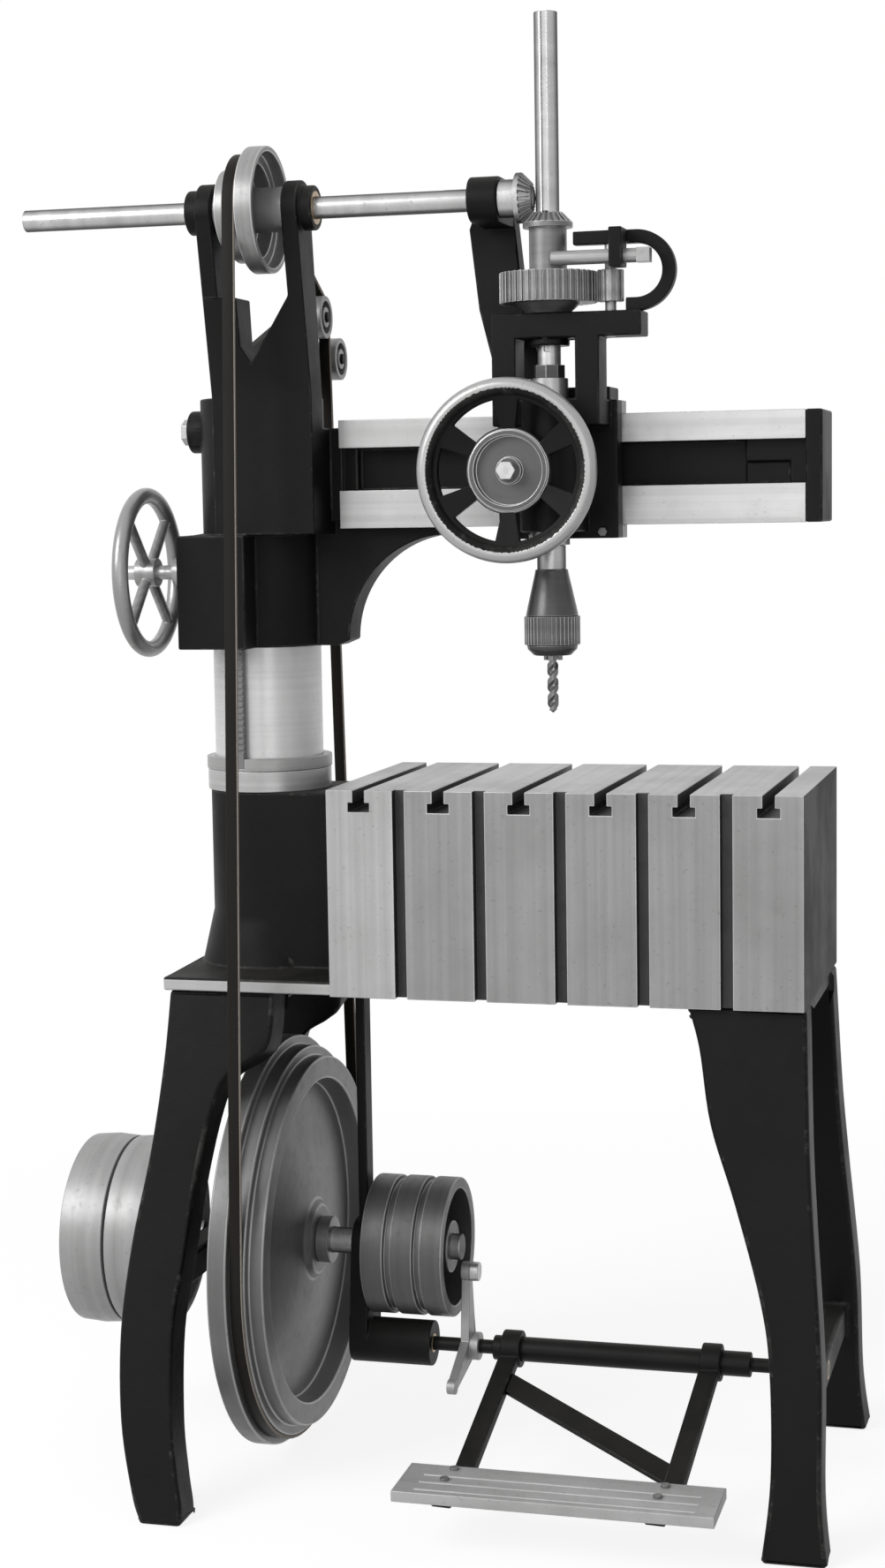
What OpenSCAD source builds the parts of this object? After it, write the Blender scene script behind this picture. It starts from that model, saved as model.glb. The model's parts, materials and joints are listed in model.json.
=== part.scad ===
// Radial arm drill with box table, round column, sliding head, stepped belt drive and foot treadle.
// Millimetres, +Z up, arm along +X, front of the machine at -Y, origin on the floor between the feet.

/* [Table] */
// Length of the box table along the arm
table_w = 520; // [480:1:560]
// Depth of the box table from front to back
table_d = 310; // [290:1:320]
// Height of the box table body
table_h = 229; // [210:1:240]
// Height of the table top above the floor
table_top = 800; // [780:1:810]
// Wall thickness of the box table
table_wall = 20; // [16:1:26]
// Thickness of the table top plate
top_plate_t = 42; // [38:1:50]
// Thickness of the table floor plate
floor_plate_t = 14; // [10:1:18]
// Throat width of the T-slots
t_slot_w = 13; // [11:1:15]
// Head width of the T-slots
t_slot_head_w = 24; // [20:1:28]
// Throat depth of the T-slots
t_slot_throat = 14; // [12:1:16]
// Head height of the T-slots
t_slot_head_h = 10; // [8:1:12]
// Number of T-slots in the top
t_slot_count = 6; // [4:1:6]
// Distance of the outer T-slots from the table ends
t_slot_margin = 37; // [32:1:45]
// Width of the upright slots in the front face
front_slot_w = 13; // [11:1:15]
// Depth of the upright slots in the front face
front_slot_deep = 12; // [9:1:14]
// Head diameter of the stand bolts
stand_bolt_head_d = 20; // [16:1:22]
// Head height of the stand bolts
stand_bolt_head_h = 8; // [6:1:10]
// Shank diameter of the stand bolts
stand_bolt_d = 10; // [8:1:12]

/* [Legs] */
// Distance of the right feet inside the table end
foot_inset = 3; // [0:1:8]
// Spacing of the front and rear left feet
left_span_y = 500; // [484:1:510]
// Spacing of the front and rear right feet
right_span_y = 420; // [400:1:440]
// Spacing of the front and rear legs at their tops
leg_top_span_y = 240; // [220:1:248]
// Width of a leg top along the arm
leg_w = 125; // [115:1:130]
// Thickness of a leg from front to back
leg_t = 46; // [40:1:50]
// Thickness of the top plate of a leg frame
leg_plate_t = 18; // [14:1:22]
// Width of the cross rails between front and rear legs
rail_w = 26; // [20:1:30]
// Height of the cross rails
rail_h = 36; // [30:1:40]

/* [Column] */
// Distance of the column axis from the left feet
col_inset = 56; // [52:1:60]
// Distance from the column axis to the left end of the table
table_gap = 115; // [108:1:124]
// Diameter of the column post
post_d = 124; // [120:1:126]
// Height of the post top above the table top
post_rise = 404; // [398:1:406]
// Wall of the column base round the post
base_wall = 6; // [5:1:8]
// Reach of the base flange to the left of the column axis
flange_reach = 82; // [78:1:90]
// Depth of the base flange from front to back
flange_d = 296; // [290:1:304]
// Thickness of the base flange
flange_t = 15; // [12:1:18]
// Height of the flare above the base flange
flare_h = 60; // [50:1:70]
// Outer diameter of the base rim
rim_d = 142; // [138:1:146]
// Height of the base rim
rim_h = 24; // [20:1:28]
// Rise of the base rim above the table top
rim_rise = 10; // [6:1:14]
// Height of the swing ring
ring_h = 14; // [12:1:18]
// Outer diameter of the swing ring
ring_d = 144; // [144:1:148]

/* [Arm] */
// Height of the arm top above the table top at rest
arm_rise = 402; // [398:1:406]
// Height of the arm over its ways
arm_h = 120; // [114:1:124]
// Depth of the arm body behind the ways
arm_d = 78; // [70:1:84]
// Distance from the column axis to the left end of the arm
arm_gap = 105; // [102:1:108]
// Reach of the arm beyond the column axis
arm_reach = 642; // [620:1:660]
// Distance of the front of the ways from the column axis
way_front = 48; // [46:1:50]
// Thickness of the ways
way_t = 14; // [12:1:16]
// Height of the upper way
way_up_h = 31; // [28:1:34]
// Height of the lower way
way_low_h = 42; // [38:1:44]
// Overhang of the ways past the arm body
way_lip = 8; // [7:1:10]
// Depth of the recess between the ways
recess_deep = 12; // [8:1:16]
// Wall of the sleeve round the post
sleeve_wall = 8; // [7:1:9]
// Height of the sleeve bottom above the table top
sleeve_rise = 150; // [148:1:156]
// Radius of the hollow curve under the arm
gusset_r = 118; // [112:1:122]
// Thickness of the gusset under the arm
gusset_t = 44; // [38:1:50]
// Lean of the lower edge of the gusset
gusset_lean = 22; // [18:1:26]

/* [Top fork] */
// Distance of the head shaft line in front of the column axis
line_front = 110; // [108:1:112]
// Height of the head shaft line above the table top
line_rise = 628; // [622:1:634]
// Distance of the belt plane to the right of the column axis
belt_off = 24; // [22:1:26]
// Distance from the belt plane to the left cheek
fork_left = 31.5; // [30:0.5:33]
// Distance from the belt plane to the right cheek
fork_right = 48.5; // [46:0.5:50]
// Depth of the sloping notch between the cheeks
fork_notch = 70; // [60:1:76]
// Thickness of the fork cheeks
cheek_t = 18; // [16:1:20]
// Radius of the round ends of the cheeks
cheek_r = 30; // [27:1:32]
// Length of the bearing bosses outside the cheeks
boss_len = 14; // [10:1:16]
// Radius of the bearing bosses
boss_r = 24; // [22:1:26]
// Width of the small step of the top cone
cone_small_w = 13; // [12:1:15]
// Width of the middle steps
cone_mid_w = 18; // [17:1:20]
// Width of the large step of the top cone
cone_large_w = 20; // [18:1:22]
// Radius of the middle step of the top cone
cone_mid_r = 56; // [54:1:58]
// Radius change from step to step
cone_step = 12; // [10:1:13]
// Small step of bosses, bushes and end faces
cone_hub_len = 3; // [2:0.5:4]
// Wall of the top cone rim
cone_rim_t = 6; // [5:1:8]
// Radius of the guide pulleys
idler_r = 25; // [23:1:27]
// Width of the guide pulleys
idler_w = 24; // [22:1:26]
// Distance of the first guide pulley behind the column axis
idler_back = 140; // [136:1:144]
// Drop of the first guide pulley below the head shaft line
idler_drop = 98; // [94:1:104]
// Drop of the second guide pulley below the first
idler_step = 46; // [42:1:50]
// Radius of the guide pulley pins
idler_pin_r = 6; // [5:0.5:7]
// Thickness of the guide pulley bracket
idler_plate_t = 10; // [8:1:11]

/* [Elevating gear] */
// Height of the elevating shaft above the table top
elev_rise = 236; // [232:1:240]
// Width of the elevating rack
rack_w = 14; // [12:1:16]
// Thickness of the elevating rack
rack_t = 9; // [8:0.5:9.5]
// Distance of the rack to the left of the column axis
rack_off = 14; // [12:1:16]
// Pitch of the rack teeth
rack_pitch = 7; // [6:0.5:8]
// Depth of the rack teeth
rack_tooth = 3; // [2:0.5:4]
// Radius of the elevating pinion
elev_pinion_r = 13.5; // [13:0.5:14]
// Teeth on the elevating pinion
elev_pinion_teeth = 12; // [10:1:14]
// Radius of the elevating shaft
elev_shaft_r = 8; // [7:0.5:9]
// Radius of the elevating handwheel over its rim
elev_wheel_r = 95; // [88:1:100]
// Radius of the rim section of the elevating handwheel
elev_rim_r = 9; // [7:0.5:10]
// Distance of the elevating handwheel from the column axis
elev_wheel_off = 110; // [104:1:116]
// Spokes of the elevating handwheel
elev_spokes = 4; // [3:1:6]

/* [Drive] */
// Height of the drive shaft above the floor
drive_h = 252; // [250:1:256]
// Radius of the drive shaft
drive_shaft_r = 15; // [13:1:17]
// Radius of the middle step of the cone wheel
wheel_mid_r = 226; // [220:1:228]
// Width of the large step of the cone wheel
wheel_large_w = 22; // [19:1:23]
// Width of the small step of the cone wheel
wheel_small_w = 17; // [16:1:19]
// Thickness of the cone wheel rim
wheel_rim_t = 26; // [20:1:28]
// Thickness of the cone wheel web
wheel_web_t = 14; // [12:1:16]
// Radius of the cone wheel hub
wheel_hub_r = 40; // [34:1:46]
// Radius of the fast and loose pulleys
pulley_r = 112; // [106:1:116]
// Face width of the fast and loose pulleys
pulley_w = 52; // [46:1:56]
// Crown height of the fast and loose pulleys
pulley_crown = 2; // [1:0.5:3]
// Rim thickness of the fast and loose pulleys
pulley_rim_t = 8; // [6:1:10]
// Web thickness of the fast and loose pulleys
pulley_web_t = 10; // [8:1:12]
// Radius of the pulley hubs
pulley_hub_r = 32; // [28:1:36]
// Distance of the pulleys from the column axis
pulley_off = 128; // [124:1:134]
// Radius of the clutch drum
drum_r = 80; // [74:1:84]
// Length of the clutch drum
drum_w = 96; // [90:1:100]
// Width of the drum grooves
drum_groove_w = 8; // [6:1:10]
// Depth of the drum grooves
drum_groove_t = 6; // [4:1:8]
// Wall of the clutch drum
drum_wall = 13; // [12:1:15]
// Width of the shaft hanger
hanger_w = 22; // [20:1:24]
// Depth of the upper hanger bar
hanger_d = 26; // [22:1:30]
// Gap between the cone wheel and the hanger
hanger_gap = 45; // [42:1:49]
// Width of the drive belt
belt_w = 14; // [12:1:16]
// Thickness of the drive belt
belt_t = 4; // [3:0.5:5]

/* [Treadle] */
// Height of the treadle pivot above the floor
treadle_h = 142; // [139:1:145]
// Distance of the treadle pivot in front of the drive shaft
treadle_front = 20; // [16:1:24]
// Radius of the rocking bar
rock_r = 14; // [12:1:15]
// Radius of the rocking bar journals
rock_neck_r = 8; // [7:0.5:9]
// Length of the treadle bearing below the clutch drum
rock_boss_len = 96; // [88:1:100]
// Radius of the treadle bearing
rock_boss_r = 26; // [22:1:28]
// Distance from the pivot to the back edge of the tread plate
tread_back = 195; // [190:1:200]
// Depth of the tread plate
tread_d = 84; // [76:1:88]
// Drop of the strut ends below the pivot
tread_drop = 88; // [82:1:90]
// Length of the tread plate
tread_w = 344; // [330:1:356]
// Thickness of the tread plate
tread_t = 12; // [10:1:14]
// Left end of the tread plate from the machine centre
tread_left = 72; // [66:1:76]
// Width of the treadle struts
strut_w = 22; // [18:1:26]
// Thickness of the treadle struts
strut_t = 14; // [12:1:16]
// Spacing of the treadle struts
strut_span = 230; // [220:1:240]
// Sideways lean of the treadle struts, in degrees
strut_lean = 5; // [3:0.5:6]
// Width of the treadle brace
brace_w = 28; // [24:1:32]
// Thickness of the bell-crank lever
lever_t = 10; // [8:1:12]
// Length of the upright arm of the bell-crank lever
lever_up = 88; // [82:1:92]
// Length of the front arm of the bell-crank lever
lever_fwd = 74; // [68:1:80]
// Radius of the lever knob
knob_r = 11; // [9:1:12]

/* [Head] */
// Distance of the spindle axis from the column axis at rest
spindle_off = 360; // [350:1:370]
// Width of the head saddle
saddle_w = 132; // [126:1:138]
// Thickness of the head saddle
saddle_t = 26; // [24:1:28]
// Overlap of the saddle above and below the arm
saddle_lap = 14; // [12:1:16]
// Radius of the quill housing
housing_r = 33; // [32:1:35]
// Width of the head uprights
upright_w = 26; // [22:1:28]
// Depth of the head frame from front to back
frame_d = 44; // [40:1:48]
// Height of the cross beam above the arm top
beam_rise = 78; // [74:1:82]
// Height of the cross beam
beam_h = 26; // [24:1:30]
// Radius of the bevel gears
bevel_r = 27; // [25:1:28]
// Face width of the bevel gears
bevel_face = 11; // [9:1:12]
// Radius of the bevel gear hub
bevel_hub_r = 20; // [18:1:22]
// Radius of the disc gear
disc_r = 52; // [48:1:54]
// Thickness of the disc gear
disc_t = 32; // [28:1:34]
// Teeth of the disc gear
disc_teeth = 40; // [32:1:44]
// Radius of the side pinion
side_r = 14; // [13:0.5:15]
// Teeth of the side pinion
side_teeth = 11; // [9:1:12]
// Radius of the side pinion stud
side_stud_r = 6; // [5:0.5:7]
// Radius of the cross shaft
cross_r = 12; // [11:0.5:13]
// Length of the cross shaft left of the spindle axis
cross_len = 594; // [584:1:606]
// Width of the keyways
keyway_w = 6; // [5:0.5:7]
// Depth of the keyways
keyway_t = 3; // [2:0.5:3.5]

/* [Spindle] */
// Radius of the spindle
spindle_r = 12.5; // [12:0.5:13]
// Rise of the spindle top above the head shaft line
spindle_up = 190; // [180:1:200]
// Radius of the quill
quill_r = 20; // [19:0.5:21]
// Length of the quill
quill_len = 176; // [172:1:180]
// Drop of the quill end below the arm
quill_drop = 20; // [16:1:22]
// Width of the quill rack
quill_rack_w = 10; // [8:0.5:12]
// Distance of the feed shaft from the spindle axis
feed_off = 33; // [32.5:0.5:34]
// Height of the feed shaft above the arm bottom
feed_rise = 59; // [55:1:63]
// Radius of the feed pinion
feed_pinion_r = 9; // [8.5:0.5:9.5]
// Teeth on the feed pinion
feed_pinion_teeth = 10; // [8:1:12]
// Radius of the feed shaft
feed_shaft_r = 7; // [6:0.5:7.5]
// Radius of the feed handwheel
feed_wheel_r = 97; // [90:1:100]
// Radius of the rim section of the feed handwheel
feed_rim_r = 9; // [8:0.5:10]
// Dish of the feed handwheel
feed_dish = 18; // [14:1:22]
// Distance of the feed handwheel in front of the spindle axis
feed_wheel_front = 66; // [62:1:70]
// Openings in the feed handwheel
feed_openings = 6; // [5:1:7]
// Length of the spindle nose below the quill
nose_len = 26; // [22:1:30]
// Length of the chuck
chuck_len = 92; // [86:1:98]
// Largest radius of the chuck
chuck_r = 30; // [28:1:32]
// Radius of the twist drill
drill_r = 6; // [4:0.5:6]
// Length of the twist drill below the chuck
drill_len = 62; // [56:1:64]
// Spacing of the chuck jaws from the axis
jaw_gap = 6.2; // [6.2:0.1:8]

/* [Fits] */
// Running clearance of shafts and slides
run_gap = 0.05; // [0.03:0.01:0.08]
// Open gap between parts that pass each other
free_gap = 0.5; // [0.4:0.1:0.8]
// Gap between the drive belt and its pulleys
belt_gap = 0.3; // [0.3:0.05:0.5]
// Overrun of cuts past a face
overrun = 3; // [2:0.5:4]
// Steps of a leg edge from point to point
leg_steps = 6; // [4:1:8]
// Steps of the drive belt round a pulley
arc_n = 60; // [40:4:80]
// Sides of small rounds
round_n = 48; // [32:4:96]
// Sides of large rounds
wheel_n = 96; // [64:8:144]

/* [Hidden] */
$fn = round_n;

// Places along the machine
foot_span_x = col_inset + table_gap + table_w - foot_inset;
left_foot_x = -foot_span_x / 2;
right_foot_x = foot_span_x / 2;
col_x = left_foot_x + col_inset;
table_x0 = col_x + table_gap;
table_x1 = table_x0 + table_w;
table_z0 = table_top - table_h;
post_r = post_d / 2;
post_z1 = table_top + post_rise;
base_r = post_r + base_wall;
rim_z1 = table_top + rim_rise;
rim_z0 = rim_z1 - rim_h;
ring_z1 = rim_z1 + ring_h;
lift_down_share = 0.12;
lift_down = post_d * lift_down_share;
arm_z1 = table_top + arm_rise;
arm_z0 = arm_z1 - arm_h;
arm_x0 = col_x + arm_gap;
arm_x1 = col_x + arm_reach;
way_x1 = arm_x1 - cheek_t;
body_z0 = arm_z0 + way_lip;
body_z1 = arm_z1 - way_lip;
body_y0 = -way_front + way_t;
body_y1 = body_y0 + arm_d;
sleeve_r = post_r + sleeve_wall;
sleeve_z0 = table_top + sleeve_rise;
bore_z1 = post_z1 + lift_down + overrun;
sleeve_z1 = bore_z1 + sleeve_wall;

// Head shaft line, belt and cones
line_y = -line_front;
line_z = table_top + line_rise;
belt_x = col_x + belt_off;
cone_small_r = cone_mid_r - cone_step;
cone_large_r = cone_mid_r + cone_step;
cone_x0 = belt_x - cone_mid_w / 2 - cone_small_w;
cheek_l1 = belt_x - fork_left;
cheek_l0 = cheek_l1 - cheek_t;
cheek_r0 = belt_x + fork_right;
cheek_r1 = cheek_r0 + cheek_t;
wheel_x0 = belt_x - cone_mid_w / 2 - wheel_large_w;
wheel_x1 = belt_x + cone_mid_w / 2 + wheel_small_w;
idler_z = line_z - idler_drop;

// Treadle and hanger
hanger_x0 = wheel_x1 + hanger_gap;
hanger_x1 = hanger_x0 + hanger_w;
drum_x0 = hanger_x1 + cone_hub_len;
drum_x1 = drum_x0 + drum_w;
lever_x0 = drum_x1 + lever_t;
treadle_y = -treadle_front;
pulley_x1 = col_x - pulley_off;
pulley_mid = pulley_x1 - pulley_w;
pulley_x0 = pulley_mid - pulley_w - cone_hub_len;

// Head
spindle_x = col_x + spindle_off;
saddle_x0 = spindle_x - saddle_w / 2;
saddle_y1 = -way_front - run_gap;
saddle_y0 = saddle_y1 - saddle_t;
saddle_z0 = arm_z0 - saddle_lap;
saddle_z1 = arm_z1 + saddle_lap;
beam_z0 = arm_z1 + beam_rise;
beam_z1 = beam_z0 + beam_h;
feed_x = spindle_x - feed_off;
feed_z = arm_z0 + feed_rise;
wheel_y = line_y - feed_wheel_front;
quill_z0 = arm_z0 - quill_drop;
quill_z1 = quill_z0 + quill_len;
chuck_z1 = quill_z0 - nose_len;
chuck_z0 = chuck_z1 - chuck_len;
drill_z0 = chuck_z0 - drill_len;
disc_z0 = beam_z1 + bevel_face;
disc_z1 = disc_z0 + disc_t;
side_x = spindle_x + disc_r + side_r + free_gap * 2;

// Outlines of the legs as shares of their width from the foot and of their height
left_outer_shares = [[-0.16, 1], [-0.19, 0.855], [-0.27, 0.685], [-0.40, 0.513], [-0.464, 0.345],
  [-0.416, 0.177], [-0.28, 0.046], [-0.20, 0]];
left_inner_shares = [[0.20, 0], [0.19, 0.03], [0.136, 0.086], [0.064, 0.186], [0.032, 0.35], [0.104, 0.487],
  [0.184, 0.64], [0.30, 0.77], [0.42, 0.83], [0.66, 0.865], [0.80, 0.90], [0.824, 1]];
right_outer_shares = [[-0.032, 1], [-0.072, 0.757], [-0.12, 0.597], [-0.208, 0.343], [-0.224, 0.12],
  [-0.28, 0]];
right_inner_shares = [[0.272, 0], [0.208, 0.144], [0.232, 0.336], [0.32, 0.462], [0.552, 0.637],
  [0.77, 0.78], [0.88, 0.92], [0.99, 1]];
half_share = 0.5;

// Smooth curve through a list of points
function through(a, b, c, d, t) = half_share * (2 * b + (c - a) * t + (2 * a - 5 * b + 4 * c - d) * t * t
  + (3 * b - a - 3 * c + d) * t * t * t);
function smooth(p, n) = concat([for (i = [0 : len(p) - 2]) for (k = [0 : n - 1])
  through(p[max(i - 1, 0)], p[i], p[i + 1], p[min(i + 2, len(p) - 1)], k / n)], [p[len(p) - 1]]);

// Direction of the outer tangent of two round bodies, from centre a to centre b, on the given side
function tangent_dir(a, ra, b, rb, side) = atan2(a[1] - b[1], a[0] - b[0])
  + side * acos((rb - ra) / norm(a - b));
function arc_points(c, r, a0, a1, n) = [for (k = [0 : n]) [c[0] + r * cos(a0 + (a1 - a0) * k / n),
  c[1] + r * sin(a0 + (a1 - a0) * k / n)]];

module along_x(x, y, z) {
  translate([x, y, z])
    rotate([0, 90, 0])
      children();
}

module along_y(x, y, z) {
  translate([x, y, z])
    rotate([-90, 0, 0])
      children();
}

// Plate whose outline is drawn in depth and height, growing along the arm
module side_plate(x, t) {
  translate([x, 0, 0])
    rotate([90, 0, 90])
      linear_extrude(height = t)
        children();
}

// Plate whose outline is drawn along the arm and in height, growing from y towards the back
module front_plate(y, t) {
  translate([0, y + t, 0])
    rotate([90, 0, 0])
      linear_extrude(height = t)
        children();
}

module block(x0, x1, y0, y1, z0, z1) {
  translate([x0, y0, z0])
    cube([x1 - x0, y1 - y0, z1 - z0]);
}

module ring(r0, r1, h) {
  difference() {
    cylinder(r = r1, h = h, $fn = wheel_n);
    translate([0, 0, -overrun])
      cylinder(r = r0, h = h + overrun * 2, $fn = wheel_n);
  }
}

// Round blank with straight tooth spaces
module toothed(r, h, n, deep) {
  difference() {
    cylinder(r = r, h = h, $fn = wheel_n);
    for (i = [0 : n - 1])
      rotate([0, 0, i * 360 / n])
        translate([r - deep, -r * PI / n / 2, -overrun])
          cube([deep + overrun, r * PI / n, h + overrun * 2]);
  }
}

// Cone blank with tooth spaces along its slope, large end at zero
module bevel_blank(r, face, n, deep) {
  difference() {
    cylinder(r1 = r, r2 = r - face, h = face, $fn = wheel_n);
    for (i = [0 : n - 1])
      rotate([0, 0, i * 360 / n])
        translate([r, 0, 0])
          rotate([0, -45, 0])
            translate([-deep, -r * PI / n / 2, -face])
              cube([deep * 2, r * PI / n, face * 4]);
  }
}

// Standing part

// One leg, drawn flat past both its ends, leaned outwards and cut level
module leaned_leg(foot_x, way, span, outer, inner) {
  rise = table_z0;
  lean = atan((span - leg_top_span_y) / 2 / rise);
  tall = rise / cos(lean);
  function at(share, z) = [foot_x + way * share * leg_w, z];
  intersection() {
    translate([0, -span / 2, 0])
      rotate([-lean, 0, 0])
        front_plate(-leg_t / 2, leg_t)
          polygon(concat([at(outer[0][0], tall + leg_plate_t)],
            [for (p = smooth(outer, leg_steps)) at(p[0], p[1] * tall)],
            [at(outer[len(outer) - 1][0], -leg_plate_t), at(inner[0][0], -leg_plate_t)],
            [for (p = smooth(inner, leg_steps)) at(p[0], p[1] * tall)],
            [at(inner[len(inner) - 1][0], tall + leg_plate_t)]));
    block(foot_x - leg_w * 2, foot_x + leg_w * 2, -span, 0, 0, rise);
  }
}

module leg_pair(foot_x, way, span, outer, inner) {
  top0 = foot_x + way * outer[0][0] * leg_w;
  top1 = foot_x + way * inner[len(inner) - 1][0] * leg_w;
  leaned_leg(foot_x, way, span, outer, inner);
  mirror([0, 1, 0])
    leaned_leg(foot_x, way, span, outer, inner);
  block(min(top0, top1) + cone_hub_len, max(top0, top1) - cone_hub_len, -leg_top_span_y / 2,
    leg_top_span_y / 2, table_z0 - leg_plate_t, table_z0);
}

// Depth of the leg middle at a height
function leg_y(z, span) = (span - (span - leg_top_span_y) * z / table_z0) / 2;

// Places of the stand bolts: along the arm, in depth
function stand_bolt_x() = [left_foot_x + leg_w / 5, left_foot_x + leg_w * 3 / 5, right_foot_x - leg_w / 5,
  right_foot_x - leg_w * 3 / 5];
stand_bolt_y = leg_top_span_y / 3;

module stand_holes() {
  for (x = stand_bolt_x())
    for (s = [-1, 1])
      translate([x, s * stand_bolt_y, table_z0 - leg_plate_t - overrun])
        cylinder(d = stand_bolt_d + run_gap * 2, h = leg_plate_t + floor_plate_t + cone_hub_len / 2);
}

module left_legs() {
  color("#1b1c1e")
    difference() {
      union() {
        leg_pair(left_foot_x, 1, left_span_y, left_outer_shares, left_inner_shares);
        block(left_foot_x - rail_w, left_foot_x, -leg_y(drive_h, left_span_y), leg_y(drive_h, left_span_y),
          drive_h - rail_h / 2, drive_h + rail_h / 2);
        along_x(left_foot_x - rail_w - cone_hub_len, 0, drive_h)
          cylinder(r = drive_shaft_r * 2, h = rail_w + cone_hub_len * 4);
      }
      along_x(left_foot_x - rail_w * 2, 0, drive_h)
        cylinder(r = drive_shaft_r + cone_hub_len, h = rail_w * 4);
      stand_holes();
    }
}

module right_legs() {
  color("#1b1c1e")
    difference() {
      union() {
        leg_pair(right_foot_x, -1, right_span_y, right_outer_shares, right_inner_shares);
        block(right_foot_x - rail_w / 2, right_foot_x + rail_w / 2, -leg_y(treadle_h, right_span_y),
          leg_y(treadle_h, right_span_y), treadle_h - rail_h / 2, treadle_h + rail_h / 2);
      }
      along_x(right_foot_x - rail_w, treadle_y, treadle_h)
        cylinder(r = rock_neck_r + cone_hub_len, h = rail_w * 2);
      stand_holes();
    }
}

module column_base() {
  z0 = table_z0;
  color("#1b1c1e")
    difference() {
      union() {
        block(col_x - flange_reach, table_x0, -flange_d / 2, flange_d / 2, z0, z0 + flange_t);
        translate([col_x, 0, z0])
          cylinder(r = base_r, h = rim_z0 - z0, $fn = wheel_n);
        translate([col_x, 0, z0 + flange_t])
          cylinder(r1 = flange_reach, r2 = base_r, h = flare_h, $fn = wheel_n);
        block(col_x, table_x0, -base_r, base_r, z0, rim_z0);
      }
      translate([col_x, 0, z0 + flange_t])
        cylinder(r = post_r + run_gap, h = table_h, $fn = wheel_n);
      stand_holes();
    }
}

module base_rim() {
  color("#b9b9b4")
    translate([col_x, 0, rim_z0])
      ring(post_r + run_gap, rim_d / 2, rim_h);
}

module t_slot(x) {
  block(x - t_slot_w / 2, x + t_slot_w / 2, -table_d / 2 - overrun, table_d / 2 + overrun,
    table_top - t_slot_throat, table_top + overrun);
  block(x - t_slot_head_w / 2, x + t_slot_head_w / 2, -table_d / 2 - overrun, table_d / 2 + overrun,
    table_top - t_slot_throat - t_slot_head_h, table_top - t_slot_throat);
}

module box_table() {
  pitch = (table_w - t_slot_margin * 2) / (t_slot_count - 1);
  color("#b4b4ae")
    difference() {
      block(table_x0, table_x1, -table_d / 2, table_d / 2, table_z0, table_top);
      block(table_x0 + table_wall, table_x1 - table_wall, -table_d / 2 + table_wall,
        table_d / 2 - table_wall, table_z0 + floor_plate_t, table_top - top_plate_t);
      block(table_x0 + leg_w / 2, table_x1 - leg_w * 4 / 3, -table_d / 4, table_d / 4,
        table_z0 - overrun, table_z0 + floor_plate_t + overrun);
      for (i = [0 : t_slot_count - 1])
        t_slot(table_x0 + t_slot_margin + pitch * i);
      for (i = [0 : t_slot_count - 2])
        block(table_x0 + t_slot_margin + pitch * (i + half_share) - front_slot_w / 2,
          table_x0 + t_slot_margin + pitch * (i + half_share) + front_slot_w / 2,
          -table_d / 2 - overrun, -table_d / 2 + front_slot_deep,
          table_z0 - overrun, table_top + overrun);
      stand_holes();
    }
}

module stand_bolts() {
  xs = stand_bolt_x();
  color("#6f7072")
    for (i = [0 : len(xs) - 1])
      for (s = [-1, 1])
        translate([xs[i], s * stand_bolt_y, table_z0 - leg_plate_t - stand_bolt_head_h]) {
          cylinder(d = stand_bolt_head_d, h = stand_bolt_head_h, $fn = 6);
          cylinder(d = stand_bolt_d, h = stand_bolt_head_h + leg_plate_t + floor_plate_t - cone_hub_len);
        }
}

module column_post() {
  color("#c4c4bf")
    translate([col_x, 0, table_z0 + flange_t])
      cylinder(r = post_r, h = post_z1 - table_z0 - flange_t, $fn = wheel_n);
}

module shaft_hanger() {
  bar_x = (hanger_x0 + hanger_x1) / 2;
  color("#1b1c1e")
    difference() {
      union() {
        block(hanger_x0 - hanger_gap / 2, table_x0, -hanger_d, hanger_d,
          table_z0 - leg_plate_t, table_z0);
        block(bar_x - hanger_w / 4, bar_x + hanger_w / 4, -hanger_d / 2, hanger_d / 2, drive_h,
          table_z0 - leg_plate_t / 2);
        along_x(hanger_x0, 0, drive_h)
          cylinder(r = drive_shaft_r * 2, h = hanger_w);
        side_plate(hanger_x0, hanger_w)
          polygon([[-drive_shaft_r * 2, drive_h], [drive_shaft_r * 2, drive_h],
            [treadle_y + rock_boss_r, treadle_h], [treadle_y - rock_boss_r, treadle_h]]);
        along_x(hanger_x0, treadle_y, treadle_h)
          cylinder(r = rock_boss_r, h = rock_boss_len);
      }
      along_x(hanger_x0 - overrun, 0, drive_h)
        cylinder(r = drive_shaft_r + cone_hub_len, h = hanger_w + overrun * 2);
      along_x(hanger_x0 - overrun, treadle_y, treadle_h)
        cylinder(r = rock_neck_r + cone_hub_len, h = rock_boss_len + overrun * 2);
    }
}

module bush(x, y, z, r, h) {
  along_x(x, y, z)
    difference() {
      cylinder(r = r + cone_hub_len, h = h);
      translate([0, 0, -overrun])
        cylinder(r = r + run_gap, h = h + overrun * 2);
    }
}

module shaft_bushes() {
  color("#a98648") {
    bush(left_foot_x - rail_w - cone_hub_len, 0, drive_h, drive_shaft_r, rail_w + cone_hub_len * 4);
    bush(hanger_x0, 0, drive_h, drive_shaft_r, hanger_w);
    bush(hanger_x0, treadle_y, treadle_h, rock_neck_r, rock_boss_len);
    bush(right_foot_x - rail_w / 2 - rock_r * 2, treadle_y, treadle_h, rock_neck_r, rail_w + rock_r * 2);
  }
}

// Drive shaft and what turns with it

module drive_shaft() {
  x0 = pulley_x0 - hanger_w;
  x1 = drum_x1 + lever_t / 2;
  color("#bfc0c0")
    along_x(x0, 0, drive_h)
      cylinder(r = drive_shaft_r, h = x1 - x0);
}

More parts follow.
